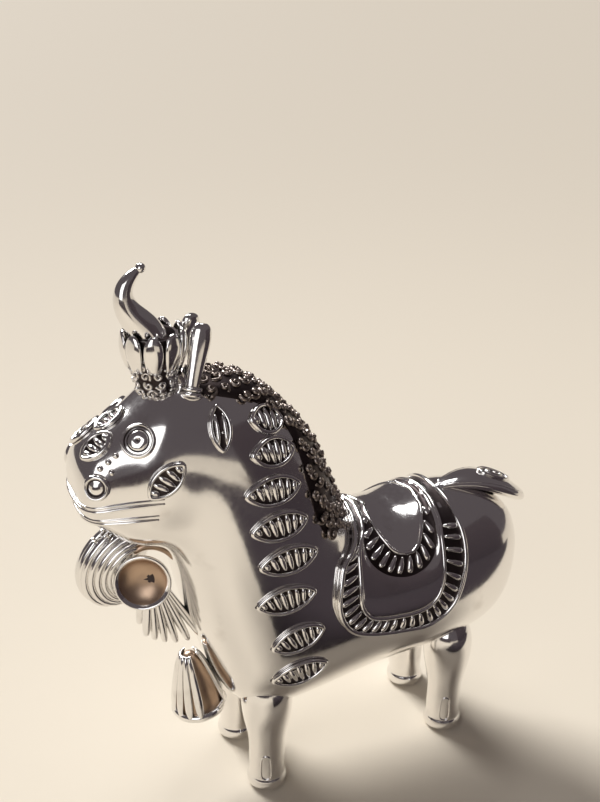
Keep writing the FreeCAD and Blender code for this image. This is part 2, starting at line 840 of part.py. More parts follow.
def fan(root, angles, lengths, start, end, hub_depth):
    """Tapered pleats that spread from a hub on the middle plane."""
    hub = Part.Face(oval(2 * start, 2 * start, 10)).extrude(V(0, 0, hub_depth))
    hub.Placement = FreeCAD.Placement(root + LEFT * (hub_depth / 2), FreeCAD.Rotation(UP, LEFT * -1))
    shape = hub
    for angle, length in zip(angles, lengths):
        way = V(math.cos(math.radians(angle)), 0, math.sin(math.radians(angle)))
        rings = []
        for along, radius in ((start, start), (length, end), (length + end * 0.4, end * 0.6)):
            rings.append(ring_across(root + way * along, way, radius, radius, 10))
        shape = shape.fuse(Part.makeLoft(rings, True, True))
    return shape


def dewlap():
    centre = spot(*FLOWER)
    dish_place = FreeCAD.Placement(centre + LEFT * 3.6, FreeCAD.Rotation(UP, V(-0.38, -0.9, 0.2)))
    wall = "dish_wall"
    dish = turned("flower_dish", [
        ("0", "0"),
        ("dish_radius * 0.55", "0"),
        ("dish_radius", "dish_depth - dish_wall"),
        ("dish_radius", "dish_depth"),
        ("dish_radius - dish_wall", "dish_depth"),
        ("dish_radius * 0.5", wall),
        ("0", wall),
    ])
    dish.Placement = dish_place
    both = doc.addObject("Part::Feature", "middle_plane")
    both.Shape = Part.makeBox(60, 20, 60, V(-70, 0, 40))
    pair(cut_to_skin(dish, "flower_dish", [outer_skin, both]), "flower_dish")
    doc.recompute()
    left_dish = nodes[-2].Shape
    right_dish = nodes[-1].Shape
    tools = [skin(0), left_dish, right_dish]

    angles, lengths = [96, 118, 140, 163, 186, 208], [13.5, 13.5, 11.5, 9.5, 8.2, 8.0]
    ribbon = fan(centre + V(0.5, 0, 0.5), angles, lengths, 1.4, 2.4, 8.0)
    for tool in tools:
        ribbon = ribbon.cut(tool)
    keep(feature("dewlap_ribbon", largest(ribbon)), "dewlap_ribbon")

    angles, lengths = [242, 252, 263, 274, 287], [12.5, 14.5, 16.5, 18.5, 21.0]
    fall = fan(centre + V(1.0, 0, -4.0), angles, lengths, 1.2, 2.1, 2.4)
    bell_place = FreeCAD.Placement(spot(-35.6, 36.8), FreeCAD.Rotation(UP, V(4.6, 0, -17.5)))
    bell = turned("bell", [
        ("0", "0"),
        ("bell_radius * 0.3", "0.6"),
        ("bell_radius * 0.75", "bell_length * 0.4"),
        ("bell_radius", "bell_length * 0.75"),
        ("bell_radius * 0.9", "bell_length"),
        ("bell_radius * 0.9 - bell_wall", "bell_length"),
        ("bell_radius - bell_wall", "bell_length * 0.75"),
        ("bell_radius * 0.75 - bell_wall", "bell_length * 0.4"),
        ("0", "2.4"),
    ])
    flower = bell.Shape.copy()
    rim = size("bell_length") + 0.2
    for notch in notches(7, 0.5, 2.0, 4.0, size("bell_radius") * 1.3, rim):
        flower = flower.cut(notch)
    flower.Placement = bell_place
    flower = flower.cut(skin(0))
    for tool in tools + [flower]:
        fall = fall.cut(tool)
    keep(feature("dewlap_fall", largest(fall)), "dewlap_fall")
    keep(feature("dewlap_bell", largest(flower)), "dewlap_bell")


def largest(shape):
    return max(shape.Solids, key=lambda solid: solid.Volume)


body_halves()
legs()
horn()
ears()
face()
side_locks()
neck_leaves()
mane()
mane_tassels()
saddle()
tail()
dewlap()
doc.recompute()

for item in doc.Objects:
    if "Invalid" in item.State or "Error" in item.State:
        raise RuntimeError("%s did not build" % item.Label)
for node in nodes:
    if node.Shape.isNull() or not node.Shape.isValid():
        raise RuntimeError("%s has a bad shape" % node.Label)
    if not node.Shape.Solids:
        raise RuntimeError("%s is empty" % node.Label)

os.makedirs("parts", exist_ok=True)
for node in nodes:
    node.Shape.exportStep("parts/%s.step" % node.Label)
    print("%-22s %2d solids %9.1f mm3" % (node.Label, len(node.Shape.Solids), node.Shape.Volume))
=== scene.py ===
import math

import bmesh
import bpy
from mathutils import Matrix, Vector
from mathutils.bvhtree import BVHTree


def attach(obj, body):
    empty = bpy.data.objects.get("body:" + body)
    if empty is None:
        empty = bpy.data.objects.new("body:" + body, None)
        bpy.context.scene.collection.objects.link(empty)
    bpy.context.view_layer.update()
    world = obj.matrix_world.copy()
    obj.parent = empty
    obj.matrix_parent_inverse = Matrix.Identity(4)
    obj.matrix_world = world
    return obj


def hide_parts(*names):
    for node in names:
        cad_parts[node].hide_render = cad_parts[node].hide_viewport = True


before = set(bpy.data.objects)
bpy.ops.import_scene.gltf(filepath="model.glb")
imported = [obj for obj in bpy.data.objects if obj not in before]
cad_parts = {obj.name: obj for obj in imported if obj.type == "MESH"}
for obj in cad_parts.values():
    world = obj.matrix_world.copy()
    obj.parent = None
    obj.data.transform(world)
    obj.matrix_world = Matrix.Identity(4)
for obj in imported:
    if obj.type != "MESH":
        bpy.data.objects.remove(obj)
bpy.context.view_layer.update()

bl_info = {
    "name": "Silver Bull",
    "version": (1, 0, 0),
    "blender": (4, 5, 0),
    "location": "View3D > Sidebar > Silver Bull",
    "description": "Dresses the packed frame of a small raised silver bull",
    "category": "Object",
}

MM = 0.001

# The body's sections from nose to rump in millimetres: underside x and z, topline x and z,
# half width. They are the ones the frame was built with.
SECTIONS = [
    (-57.0, 82.5, -57.2, 91.5, 5.0),
    (-55.6, 79.2, -54.6, 95.0, 8.3),
    (-51.8, 75.5, -49.6, 98.6, 9.8),
    (-47.2, 71.6, -43.8, 102.2, 11.3),
    (-42.5, 69.8, -37.6, 106.0, 12.6),
    (-38.8, 67.2, -29.0, 105.8, 13.4),
    (-36.2, 60.0, -20.5, 104.0, 14.6),
    (-34.0, 50.0, -11.6, 96.4, 16.0),
    (-30.2, 37.0, -3.8, 85.6, 17.2),
    (-24.0, 23.5, 0.8, 73.6, 18.0),
    (-12.0, 21.5, 8.5, 65.2, 18.0),
    (6.0, 24.0, 22.0, 65.0, 17.4),
    (23.0, 25.0, 35.0, 65.4, 17.2),
    (39.5, 27.5, 44.8, 62.8, 15.2),
    (47.6, 34.0, 50.6, 58.0, 10.8),
    (51.6, 41.0, 52.6, 53.5, 4.8),
]
FULLNESS = 2.3
BELLY_SHARE = 0.08
RING_POINTS = 24

LEFT = Vector((0, -1, 0))
UP = Vector((0, 0, 1))


def mm(x, y, z):
    return Vector((x, y, z)) * MM


# Modelling helpers


def deselect():
    if bpy.context.object and bpy.context.object.mode != "OBJECT":
        bpy.ops.object.mode_set(mode="OBJECT")
    bpy.ops.object.select_all(action="DESELECT")


def only(piece):
    deselect()
    piece.select_set(True)
    bpy.context.view_layer.objects.active = piece


def apply_all(piece):
    """Applies every modifier of a piece, and its place."""
    only(piece)
    for modifier in list(piece.modifiers):
        bpy.ops.object.modifier_apply(modifier=modifier.name)
    bpy.ops.object.transform_apply(location=True, rotation=True, scale=True)


def smooth(piece, levels, angle=math.radians(180)):
    """Rounds a cage with a subdivision surface and shades it smooth."""
    if levels:
        modifier = piece.modifiers.new("Smooth", "SUBSURF")
        modifier.levels = levels
        modifier.render_levels = levels
    apply_all(piece)
    bpy.ops.object.shade_smooth_by_angle(angle=angle)


def outwards(piece):
    """Merges doubles and turns every face outwards."""
    only(piece)
    bpy.ops.object.mode_set(mode="EDIT")
    bpy.ops.mesh.select_all(action="SELECT")
    bpy.ops.mesh.remove_doubles(threshold=0.00001)
    bpy.ops.mesh.normals_make_consistent(inside=False)
    bpy.ops.object.mode_set(mode="OBJECT")


def join(pieces, name):
    """Makes several pieces one, each with a finish of its own."""
    deselect()
    for piece in pieces:
        if not piece.data.materials:
            coat(piece, "polished")
        piece.select_set(True)
    bpy.context.view_layer.objects.active = pieces[0]
    if len(pieces) > 1:
        bpy.ops.object.join()
    pieces[0].name = name
    return pieces[0]


def copy_of(piece, place):
    """A copy of a piece with its own mesh, at a place."""
    twin = piece.copy()
    twin.data = piece.data.copy()
    bpy.context.scene.collection.objects.link(twin)
    twin.matrix_world = place @ piece.matrix_world
    return twin


def discard(piece):
    bpy.data.objects.remove(piece, do_unlink=True)


def both_sides(piece):
    """Adds the right-hand half of a piece made on the left."""
    apply_all(piece)
    mirror = piece.modifiers.new("Right side", "MIRROR")
    mirror.use_axis = (False, True, False)
    mirror.use_mirror_merge = False
    apply_all(piece)
    return piece


def loft(name, rings, levels=2, tip=0.45):
    """A closed skin over rings of points, extruded from ring to ring and capped."""
    count = len(rings[0])
    deselect()
    bpy.ops.mesh.primitive_circle_add(vertices=count, fill_type="NOTHING")
    piece = bpy.context.object
    piece.name = name
    bpy.ops.object.mode_set(mode="EDIT")
    middle_first = sum(rings[0], Vector()) / count
    middle_last = sum(rings[-1], Vector()) / count
    first_cap = [middle_first + (point - middle_first) * tip for point in rings[0]]
    last_cap = [middle_last + (point - middle_last) * tip for point in rings[-1]]
    layers = [first_cap] + list(rings) + [last_cap]
    for number, ring in enumerate(layers):
        if number:
            bpy.ops.mesh.extrude_region_move()
        mesh = bmesh.from_edit_mesh(piece.data)
        mesh.verts.ensure_lookup_table()
        for vertex, point in zip(mesh.verts[-count:], ring):
            vertex.co = point
        bmesh.update_edit_mesh(piece.data)
    mesh = bmesh.from_edit_mesh(piece.data)
    mesh.verts.ensure_lookup_table()
    for start in (0, len(mesh.verts) - count):
        bpy.ops.mesh.select_all(action="DESELECT")
        mesh = bmesh.from_edit_mesh(piece.data)
        mesh.verts.ensure_lookup_table()
        for vertex in mesh.verts[start:start + count]:
            vertex.select_set(True)
        mesh.select_flush(True)
        bmesh.update_edit_mesh(piece.data)
        bpy.ops.mesh.fill_grid(span=count // 4)
    bpy.ops.object.mode_set(mode="OBJECT")
    outwards(piece)
    smooth(piece, levels)
    return piece


def oval(middle, across, upward, half_across, half_upward, count=12):
    """A ring of points round a middle."""
    ring = []
    for step in range(count):
        angle = 2 * math.pi * step / count
        aside, aloft = half_across * math.cos(angle), half_upward * math.sin(angle)
        ring.append(middle + across * aside + upward * aloft)
    return ring


def tube_rings(path, radii, count=12, flat=1.0, side=LEFT):
    """Rings square to a path, with a radius at each of its points."""
    rings = []
    for index, point in enumerate(path):
        before = path[max(index - 1, 0)]
        after = path[min(index + 1, len(path) - 1)]
        along = (after - before).normalized()
        across = side - along * side.dot(along)
        across.normalize()
        upward = along.cross(across)
        rings.append(oval(point, across, upward, radii[index] * flat, radii[index], count))
    return rings


def turned(name, profile, count=32, levels=1, crease=math.radians(35)):
    """A piece spun about its own Z from half-profile points of radius and height."""
    deselect()
    bpy.ops.mesh.primitive_circle_add(vertices=3, fill_type="NOTHING")
    piece = bpy.context.object
    piece.name = name
    bpy.ops.object.mode_set(mode="EDIT")
    bpy.ops.mesh.delete(type="VERT")
    mesh = bmesh.from_edit_mesh(piece.data)
    corners = [mesh.verts.new((radius * MM, 0, height * MM)) for radius, height in profile]
    for one, other in zip(corners, corners[1:]):
        mesh.edges.new((one, other))
    bmesh.update_edit_mesh(piece.data)
    bpy.ops.mesh.select_all(action="SELECT")
    bpy.ops.mesh.spin(steps=count, angle=2 * math.pi, center=(0, 0, 0), axis=(0, 0, 1))
    bpy.ops.object.mode_set(mode="OBJECT")
    outwards(piece)
    smooth(piece, levels, crease)
    return piece


# Places on the body's skin


def section_point(section, angle, out=0.0):
    """A point of a body section, out millimetres off the skin."""
    low = Vector((section[0], 0, section[1]))
    high = Vector((section[2], 0, section[3]))
    upward = high - low
    half_height = upward.length / 2 + out
    upward.normalize()
    rise = math.copysign(abs(math.sin(angle)) ** (2 / FULLNESS), math.sin(angle))
    spread = math.copysign(abs(math.cos(angle)) ** (2 / FULLNESS), math.cos(angle))
    spread *= 1 - BELLY_SHARE * math.sin(angle)
    half_width = section[4] + out
    return ((low + high) * 0.5 + upward * (half_height * rise) + LEFT * (half_width * spread)) * MM


def body_rings(out=0.0):
    """Rings of a cage whose smoothed surface goes through the sections."""
    aim = []
    for section in SECTIONS:
        angles = [2 * math.pi * step / RING_POINTS for step in range(RING_POINTS)]
        aim.append([section_point(section, angle, out) for angle in angles])
    cage = [[point.copy() for point in ring] for ring in aim]
    last = len(cage) - 1
    for _ in range(12):
        around = []
        for ring in cage:
            count = len(ring)
            around.append([
                (ring[k - 1] + ring[k] * 4 + ring[(k + 1) % count]) / 6 for k in range(count)
            ])
        for i, ring in enumerate(cage):
            for k in range(len(ring)):
                if 0 < i < last:
                    limit = (around[i - 1][k] + around[i][k] * 4 + around[i + 1][k]) / 6
                else:
                    limit = around[i][k]
                ring[k] += (aim[i][k] - limit) * 0.7
    return cage


SKIN = {}


def skin_tree():
    return SKIN["tree"]


def drop_to_skin(start, way):
    """Where a line from outside meets the body, and the body's normal there."""
    point, normal, _, _ = skin_tree().ray_cast(start, way)
    return point, normal


def on_skin(x, z, turn=0.0):
    """A frame on the left flank at a place of the side view: Z out, X turned above rear."""
    point, normal = drop_to_skin(mm(x, -60, z), Vector((0, 1, 0)))
    return skin_frame(point, normal, turn)


def on_crest(x, lean=0.0, turn=0.0):
    """A frame on the topline above x, lean degrees down the left side."""
    top, _ = drop_to_skin(mm(x, 0.01, 160), Vector((0, 0, -1)))
    centre = top - Vector((0, 0, 1)) * 14 * MM
    angle = math.radians(lean)
    way = Vector((0, -math.sin(angle), math.cos(angle)))
    point, normal = drop_to_skin(centre + way * 60 * MM, -way)
    return skin_frame(point, normal, turn)


def skin_frame(point, normal, turn):
    angle = math.radians(turn)
    along = Vector((math.cos(angle), 0, math.sin(angle)))
    along = (along - normal * along.dot(normal)).normalized()
    across = normal.cross(along)
    return Matrix((
        (along.x, across.x, normal.x, point.x),
        (along.y, across.y, normal.y, point.y),
        (along.z, across.z, normal.z, point.z),
        (0, 0, 0, 1),
    ))


def settle(piece, place):
    """Moves a piece made flat on z = 0 to a place on the skin, and bends it to the skin."""
    out = place.to_3x3() @ UP
    apply_all(piece)
    for vertex in piece.data.vertices:
        height = vertex.co.z
        foot = place @ Vector((vertex.co.x, vertex.co.y, 0))
        hit, _ = drop_to_skin(foot + out * 12 * MM, -out)
        if hit is None or (hit - foot).length > 8 * MM:
            hit = foot
        vertex.co = hit + out * height
    return piece


# Finishes


def nodes_of(name):
    """A new material's node tree, with its shader."""
    material = bpy.data.materials.new(name)
    material.use_nodes = True
    tree = material.node_tree
    return material, tree, tree.nodes["Principled BSDF"]


def silver(name, polish, tarnish, colour=(0.86, 0.845, 0.83)):
    """Raised silver: a little hammer unevenness, tarnish in patches and fine scratches."""
    material, tree, shader = nodes_of(name)
    new, link = tree.nodes.new, tree.links.new
    shader.inputs["Metallic"].default_value = 1.0
    place = new("ShaderNodeTexCoord")
    broad = new("ShaderNodeTexNoise")
    broad.inputs["Scale"].default_value = 95.0
    broad.inputs["Detail"].default_value = 3.0
    link(place.outputs["Object"], broad.inputs["Vector"])
    fine = new("ShaderNodeTexNoise")
    fine.inputs["Scale"].default_value = 900.0
    fine.inputs["Detail"].default_value = 4.0
    link(place.outputs["Object"], fine.inputs["Vector"])
    patches = new("ShaderNodeValToRGB")
    patches.color_ramp.elements[0].position = 0.62 - tarnish * 0.3
    patches.color_ramp.elements[0].color = (*colour, 1)
    patches.color_ramp.elements[1].position = 0.95 - tarnish * 0.3
    patches.color_ramp.elements[1].color = (colour[0] * 0.55, colour[1] * 0.5, colour[2] * 0.46, 1)
    link(broad.outputs["Fac"], patches.inputs["Fac"])
    link(patches.outputs["Color"], shader.inputs["Base Color"])
    rough = new("ShaderNodeMapRange")
    rough.inputs["To Min"].default_value = polish
    rough.inputs["To Max"].default_value = polish + 0.12
    link(fine.outputs["Fac"], rough.inputs["Value"])
    link(rough.outputs["Result"], shader.inputs["Roughness"])
    bump = new("ShaderNodeBump")
    bump.inputs["Strength"].default_value = 0.12
    bump.inputs["Distance"].default_value = 0.0004
    link(broad.outputs["Fac"], bump.inputs["Height"])
    link(bump.outputs["Normal"], shader.inputs["Normal"])
    return material


def plain(name, colour, roughness):
    material, _, shader = nodes_of(name)
    shader.inputs["Base Color"].default_value = (*colour, 1)
    shader.inputs["Roughness"].default_value = roughness
    return material


FINISH = {}


def finish_of(name):
    if not FINISH:
        FINISH["polished"] = silver("polished_silver", 0.06, 0.0)
        FINISH["worn"] = silver("worn_silver", 0.16, 0.35)
        FINISH["dark"] = silver("blackened_silver", 0.38, 0.6, (0.07, 0.055, 0.055))
        FINISH["antique"] = silver("antiqued_silver", 0.24, 0.5, (0.34, 0.29, 0.26))
        FINISH["warm"] = silver("warm_tarnished_silver", 0.3, 0.4, (0.5, 0.36, 0.26))
    return FINISH[name]


def coat(piece, name):
    piece.data.materials.append(finish_of(name))


def hand_over(piece, nodes, finish="polished"):
    """Gives a finished piece a finish if it has none, hangs it on the root body and hides the frame nodes it
    stands for.
    """
    if not piece.data.materials:
        coat(piece, finish)
    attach(piece, "root")
    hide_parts(*nodes)


def sides(stem):
    return (stem + "_left", stem + "_right")


# Sizes that a user would change


class BullSizes(bpy.types.PropertyGroup):
    leaf_width: bpy.props.FloatProperty(
        name="Neck leaf width", description="Width of the leaves on the neck",
        default=6.4 * MM, min=0.001, unit="LENGTH")
    leaf_relief: bpy.props.FloatProperty(
        name="Leaf relief", description="How far the leaf rims stand off the skin",
        default=0.9 * MM, min=0.0001, unit="LENGTH")
    curl_radius: bpy.props.FloatProperty(
        name="Curl radius", description="Radius of one curl of the mane",
        default=1.9 * MM, min=0.0005, unit="LENGTH")
    backdrop: bpy.props.FloatVectorProperty(
        name="Backdrop", description="Colour of the floor and the backdrop",
        default=(0.68, 0.61, 0.5), min=0, max=1, size=3, subtype="COLOR")


def settings():
    return bpy.context.scene.silver_bull


# Body and legs


class BULL_OT_body(bpy.types.Operator):
    """Raise the hollow body"""

    bl_idname = "bull.body"
    bl_label = "Body"

    def execute(self, context):
        body = loft("body", body_rings(), levels=3, tip=0.5)
        SKIN["tree"] = BVHTree.FromObject(body, bpy.context.evaluated_depsgraph_get())
        hand_over(body, sides("body_shell"))
        return {"FINISHED"}


LEG_PROFILE = [
    (0, 0), (3.7, 0), (4.5, 0.35), (4.85, 1.1), (4.9, 2.3), (4.6, 3.1), (4.35, 3.5), (4.3, 4.2),
    (4.35, 8.0), (4.4, 12.5), (4.75, 15.5), (5.45, 18.8), (6.0, 22.0), (6.25, 26.0), (5.6, 30.0),
    (3.4, 33.0), (0, 34.0),
]
LEG_PLACES = {"front": (-17.8, -9.6), "rear": (32.2, -9.6)}


class BULL_OT_legs(bpy.types.Operator):
    """Stand the body on four post legs with a foot ring and a chased panel"""

    bl_idname = "bull.legs"
    bl_label = "Legs"

    def execute(self, context):
        for name, (x, y) in LEG_PLACES.items():
            leg = turned("leg_" + name, LEG_PROFILE, count=24, levels=2)
            panel = self.panel()
            leg = join([leg, panel], "legs_" + name)
            leg.location = mm(x, y, 0)
            both_sides(leg)
            hand_over(leg, sides("leg_" + name))
        return {"FINISHED"}

    def panel(self):
        """A chased keyhole on the front of the leg: a raised wire rim."""
        path = []
        for angle in range(0, 181, 20):
            path.append((1.15 * math.cos(math.radians(angle)), 9.2 + 1.6 * math.sin(math.radians(angle))))
        path += [(-1.35, 6.0), (-1.2, 4.0), (0.0, 3.5), (1.2, 4.0), (1.35, 6.0)]
        turn = math.radians(-64)
        points = []
        for across, up in path:
            radius = 4.42
            angle = turn + across / radius
            points.append(mm(-radius * math.cos(angle), radius * math.sin(angle), up))
        return wire("keyhole", points, 0.22 * MM, closed=True)


def wire(name, points, radius, closed=False, count=6, levels=1, flat=1.0):
    """A round wire along points, closed on itself or rounded off at its ends."""
    if not closed:
        radii = [radius] * len(points)
        return loft(name, tube_rings(points, radii, count, flat), levels=levels, tip=0.5)
    deselect()
    curve = bpy.data.curves.new(name, "CURVE")
    curve.dimensions = "3D"
    spline = curve.splines.new("NURBS")
    spline.points.add(len(points) - 1)
    for knot, point in zip(spline.points, points):
        knot.co = (*point, 1)
    spline.order_u = 3
    spline.use_cyclic_u = True
    curve.resolution_u = 3
    curve.bevel_depth = radius
    curve.bevel_resolution = 2
    piece = bpy.data.objects.new(name, curve)
    bpy.context.scene.collection.objects.link(piece)
    only(piece)
    bpy.ops.object.convert(target="MESH")
    piece = bpy.context.object
    outwards(piece)
    bpy.ops.object.shade_smooth_by_angle(angle=math.radians(60))
    return piece


# Horn


HORN_ROOT = (-38.4, 0, 101.5)
BULB_TOP = 11.1
BULB_PROFILE = [
    (0, 0), (3.2, 0), (3.3, 2.5), (3.8, 4.4), (4.6, 6.6), (5.0, 8.6), (5.1, 10.4), (4.7, 11.0), (0, 11.1),
]
# forwards, height above the bulb and radius along the horn
HORN_LINE = [
    (0, -0.6, 4.25), (-0.2, 1.0, 4.15), (-0.7, 2.8, 3.95), (-1.7, 5.2, 3.6), (-3.5, 7.3, 3.2),
    (-4.9, 9.3, 2.75), (-5.6, 11.2, 2.35), (-5.75, 13.0, 2.05), (-5.2, 14.6, 1.75), (-4.2, 15.9, 1.4),
    (-3.2, 16.9, 1.1), (-2.3, 17.5, 0.8),
]


def horn_place(up=0.0):
    return Matrix.Translation(mm(*HORN_ROOT) + UP * up * MM)


class BULL_OT_horn(bpy.types.Operator):
    """Set the horn in its chased bulb and its crown of petals"""

    bl_idname = "bull.horn"
    bl_label = "Horn"

    def execute(self, context):
        bulb = turned("bulb", BULB_PROFILE, count=24, levels=2)
        coat(bulb, "dark")
        chasing = []
        curl = curl_shape("curl", 1.6 * MM, 1.0 * MM)
        coat(curl, "worn")
        for row in range(4):
            height = 3.2 + 2.1 * row
            radius = 3.35 + 0.45 * row
            count = 9 + row
            for step in range(count):
                turn = Matrix.Rotation(2 * math.pi * (step + 0.5 * (row % 2)) / count, 4, "Z")
                face = Matrix.Translation(mm(radius, 0, height)) @ Matrix.Rotation(math.pi / 2, 4, "Y")
                spin = Matrix.Rotation(1.3 * step + 2.1 * row, 4, "Z")
                chasing.append(copy_of(curl, turn @ face @ spin))
        discard(curl)
        bulb = join([bulb] + chasing, "horn_bulb_chased")
        bulb.matrix_world = horn_place()
        apply_all(bulb)
        hand_over(bulb, ("horn_bulb",))

        petals = [petal(
            "petal", 2 * math.pi * (step + 0.3) / 9, 0.33, 8.3,
            lambda up: 4.9 + 1.25 * math.sin(math.pi * min(up * 0.8, 1)), 0.9) for step in range(9)]
        profile = [(4.3, 1.0), (4.9, 1.0), (5.1, 6.9), (4.5, 6.9), (4.3, 1.0)]
        lining = turned("lining", profile, count=24, levels=0)
        coat(lining, "dark")
        crown = join(petals + [lining], "petal_crown")
        crown.matrix_world = horn_place(BULB_TOP - 3.0)
        apply_all(crown)
        hand_over(crown, ("horn_cup",))

        path = [mm(x, 0, z) for x, z, _ in HORN_LINE]
        radii = [radius * MM for _, _, radius in HORN_LINE]
        horn = loft("horn", tube_rings(path, radii, 12), levels=2)
        bpy.ops.mesh.primitive_uv_sphere_add(
            segments=16, ring_count=10, radius=1.05 * MM, location=path[-1] + mm(0.4, 0, 0.25))
        tip = bpy.context.object
        smooth(tip, 0)
        horn = join([horn, tip], "curved_horn")
        horn.matrix_world = horn_place(BULB_TOP)
        apply_all(horn)
        hand_over(horn, ("horn",))
        return {"FINISHED"}


def curl_shape(name, radius, height):
    """A little snail of hair: a tapered coil that ends raised in the middle."""
    path = []
    radii = []
    for step in range(9):
        share = step / 8
        angle = share * 2 * math.pi * 1.3
        reach = radius * (0.74 - 0.6 * share)
        path.append(Vector((reach * math.cos(angle), reach * math.sin(angle), height * (0.1 + 0.5 * share))))
        radii.append(radius * (0.3 - 0.06 * abs(share - 0.4)))
    return loft(name, tube_rings(path, radii, 6, side=UP), levels=1, tip=0.5)


# Ears


EAR_ROOT = (-32.6, -5.4, 104.4)
EAR_WAY = (3.9, 2.6, 14.0)


class BULL_OT_ears(bpy.types.Operator):
    """Set the upright ears, each a blade in a double collar"""

    bl_idname = "bull.ears"
    bl_label = "Ears"

    def execute(self, context):
        root = mm(*EAR_ROOT)
        way = mm(*EAR_WAY)
        along = way.normalized()
        across = (Vector((1, -0.25, 0)) - along * Vector((1, -0.25, 0)).dot(along)).normalized()
        deep = along.cross(across)
        shares = [
            (-0.12, 1.5), (0.08, 1.5), (0.3, 1.75), (0.55, 2.15), (0.78, 2.4), (0.92, 2.1), (0.985, 1.2)]
        rings = []
        for share, half in shares:
            ring = oval(root + way * share, across, deep, half * MM, half * 0.62 * MM, 12)
            rings.append(ring)
        ear = loft("ear", rings, levels=2)
        collar_path = oval(root + way * 0.07, across, deep, 2.0 * MM, 1.5 * MM, 12)
        collar = wire("collar", collar_path, 0.5 * MM, closed=True)
        lower_path = oval(root + way * 0.0, across, deep, 2.2 * MM, 1.7 * MM, 12)
        lower = wire("lower_collar", lower_path, 0.55 * MM, closed=True)
        ear = join([ear, collar, lower], "ears")
        both_sides(ear)
        hand_over(ear, sides("ear"))
        return {"FINISHED"}


# Face


EYE = (-45.0, 97.5)
NOSTRIL = (-54.3, 89.1)
EYE_PROFILE = [
    (0, 0.62), (0.28, 0.55), (0.42, 0.8), (1.2, 0.8), (1.9, 0.62), (2.2, 0.3), (2.35, -0.1), (2.75, -0.1),
    (2.85, 0.45), (3.0, 0.75), (3.25, 0.85), (3.5, 0.7), (3.65, 0.2), (3.7, -0.5),
]
NOSTRIL_PROFILE = [
    (0, 0.25), (0.9, 0.2), (1.5, 0.05), (1.75, 0.1), (1.95, 0.75), (2.2, 0.98), (2.6, 0.95), (2.85, 0.5),
    (3.0, -0.5),
]
BEADS = [(-49.6, 94.9), (-51.2, 93.8), (-52.9, 92.7), (-51.0, 92.0)]


def blacken(piece, test):
    """Blackens the faces whose middle passes a test, on a piece still at the origin."""
    piece.data.materials.clear()
    coat(piece, "polished")
    coat(piece, "dark")
    for face in piece.data.polygons:
        if test(face.center / MM):
            face.material_index = 1


class BULL_OT_face(bpy.types.Operator):
    """Chase the eyes, nostrils, beads and lips"""

    bl_idname = "bull.face"
    bl_label = "Face"

    def execute(self, context):
        eye = turned("eyes", EYE_PROFILE, count=36, levels=1, crease=math.radians(60))
        blacken(eye, lambda p: 2.28 < Vector((p.x, p.y)).length < 2.85 or Vector((p.x, p.y)).length < 0.3)
        settle(eye, on_skin(*EYE))
        both_sides(eye)
        hand_over(eye, sides("eye_ring") + sides("eyeball"))

        nostril = turned("nostrils", NOSTRIL_PROFILE, count=32, levels=1, crease=math.radians(60))
        blacken(nostril, lambda p: 1.5 < Vector((p.x, p.y)).length < 1.85)
        settle(nostril, on_skin(*NOSTRIL))
        both_sides(nostril)
        hand_over(nostril, sides("nostril_ring") + sides("nostril_disc"))

        beads = []
        for x, z in BEADS:
            point, normal = drop_to_skin(mm(x, -60, z), Vector((0, 1, 0)))
            bpy.ops.mesh.primitive_uv_sphere_add(
                segments=12, ring_count=8, radius=0.68 * MM, location=point + normal * 0.1 * MM)
            bead = bpy.context.object
            smooth(bead, 0)
            beads.append(bead)
        row = join(beads, "face_beads")
        both_sides(row)
        hand_over(row, sides("bead_row"))

        for name, node, front, side, reach, radius in (
                ("upper_lip", "lip_upper", 84.4, 86.2, 116, 0.5),
                ("lower_lip", "lip_lower", 80.9, 82.4, 112, 0.5)):
            lip = self.lip(name, front, side, reach, radius)
            hand_over(lip, (node,))
        return {"FINISHED"}

    def lip(self, name, front, side, reach, radius):
        """A fold of metal round the front of the snout, with a finer one above it."""
        folds = []
        for lift, share in ((0.0, 1.0), (1.0, 0.6)):
            path = []
            for step in range(25):
                angle = math.radians(reach * (step / 12 - 1))
                edge = abs(step / 12 - 1)
                z = front + lift + (side - front) * edge ** 1.5
                way = Vector((-math.cos(angle), -math.sin(angle), -0.12))
                centre = mm(-47.5, 0, z)
                point, normal = drop_to_skin(centre + way * 40 * MM, -way)
                path.append(point + normal * 0.1 * MM)
            radii = []
            for step in range(25):
                edge = abs(step / 12 - 1)
                radii.append(radius * share * MM * math.sqrt(max(1 - edge ** 6, 0.15)))
            folds.append(loft("fold", tube_rings(path, radii, 8, side=UP), levels=1, tip=0.5))
        return join(folds, name)


# Leaves


NECK_LEAVES = [
    (-17.4, 97.2, 9.8, -3, 5),
    (-17.2, 91.0, 12.0, 0, 6),
    (-18.3, 83.3, 14.2, 0, 7),
    (-17.4, 75.2, 14.2, 3, 7),
    (-15.6, 66.8, 14.8, 4, 7),
    (-16.4, 57.2, 14.6, 5, 8),
    (-13.8, 46.4, 13.4, 14, 7),
    (-13.1, 36.6, 14.0, 12, 7),
]


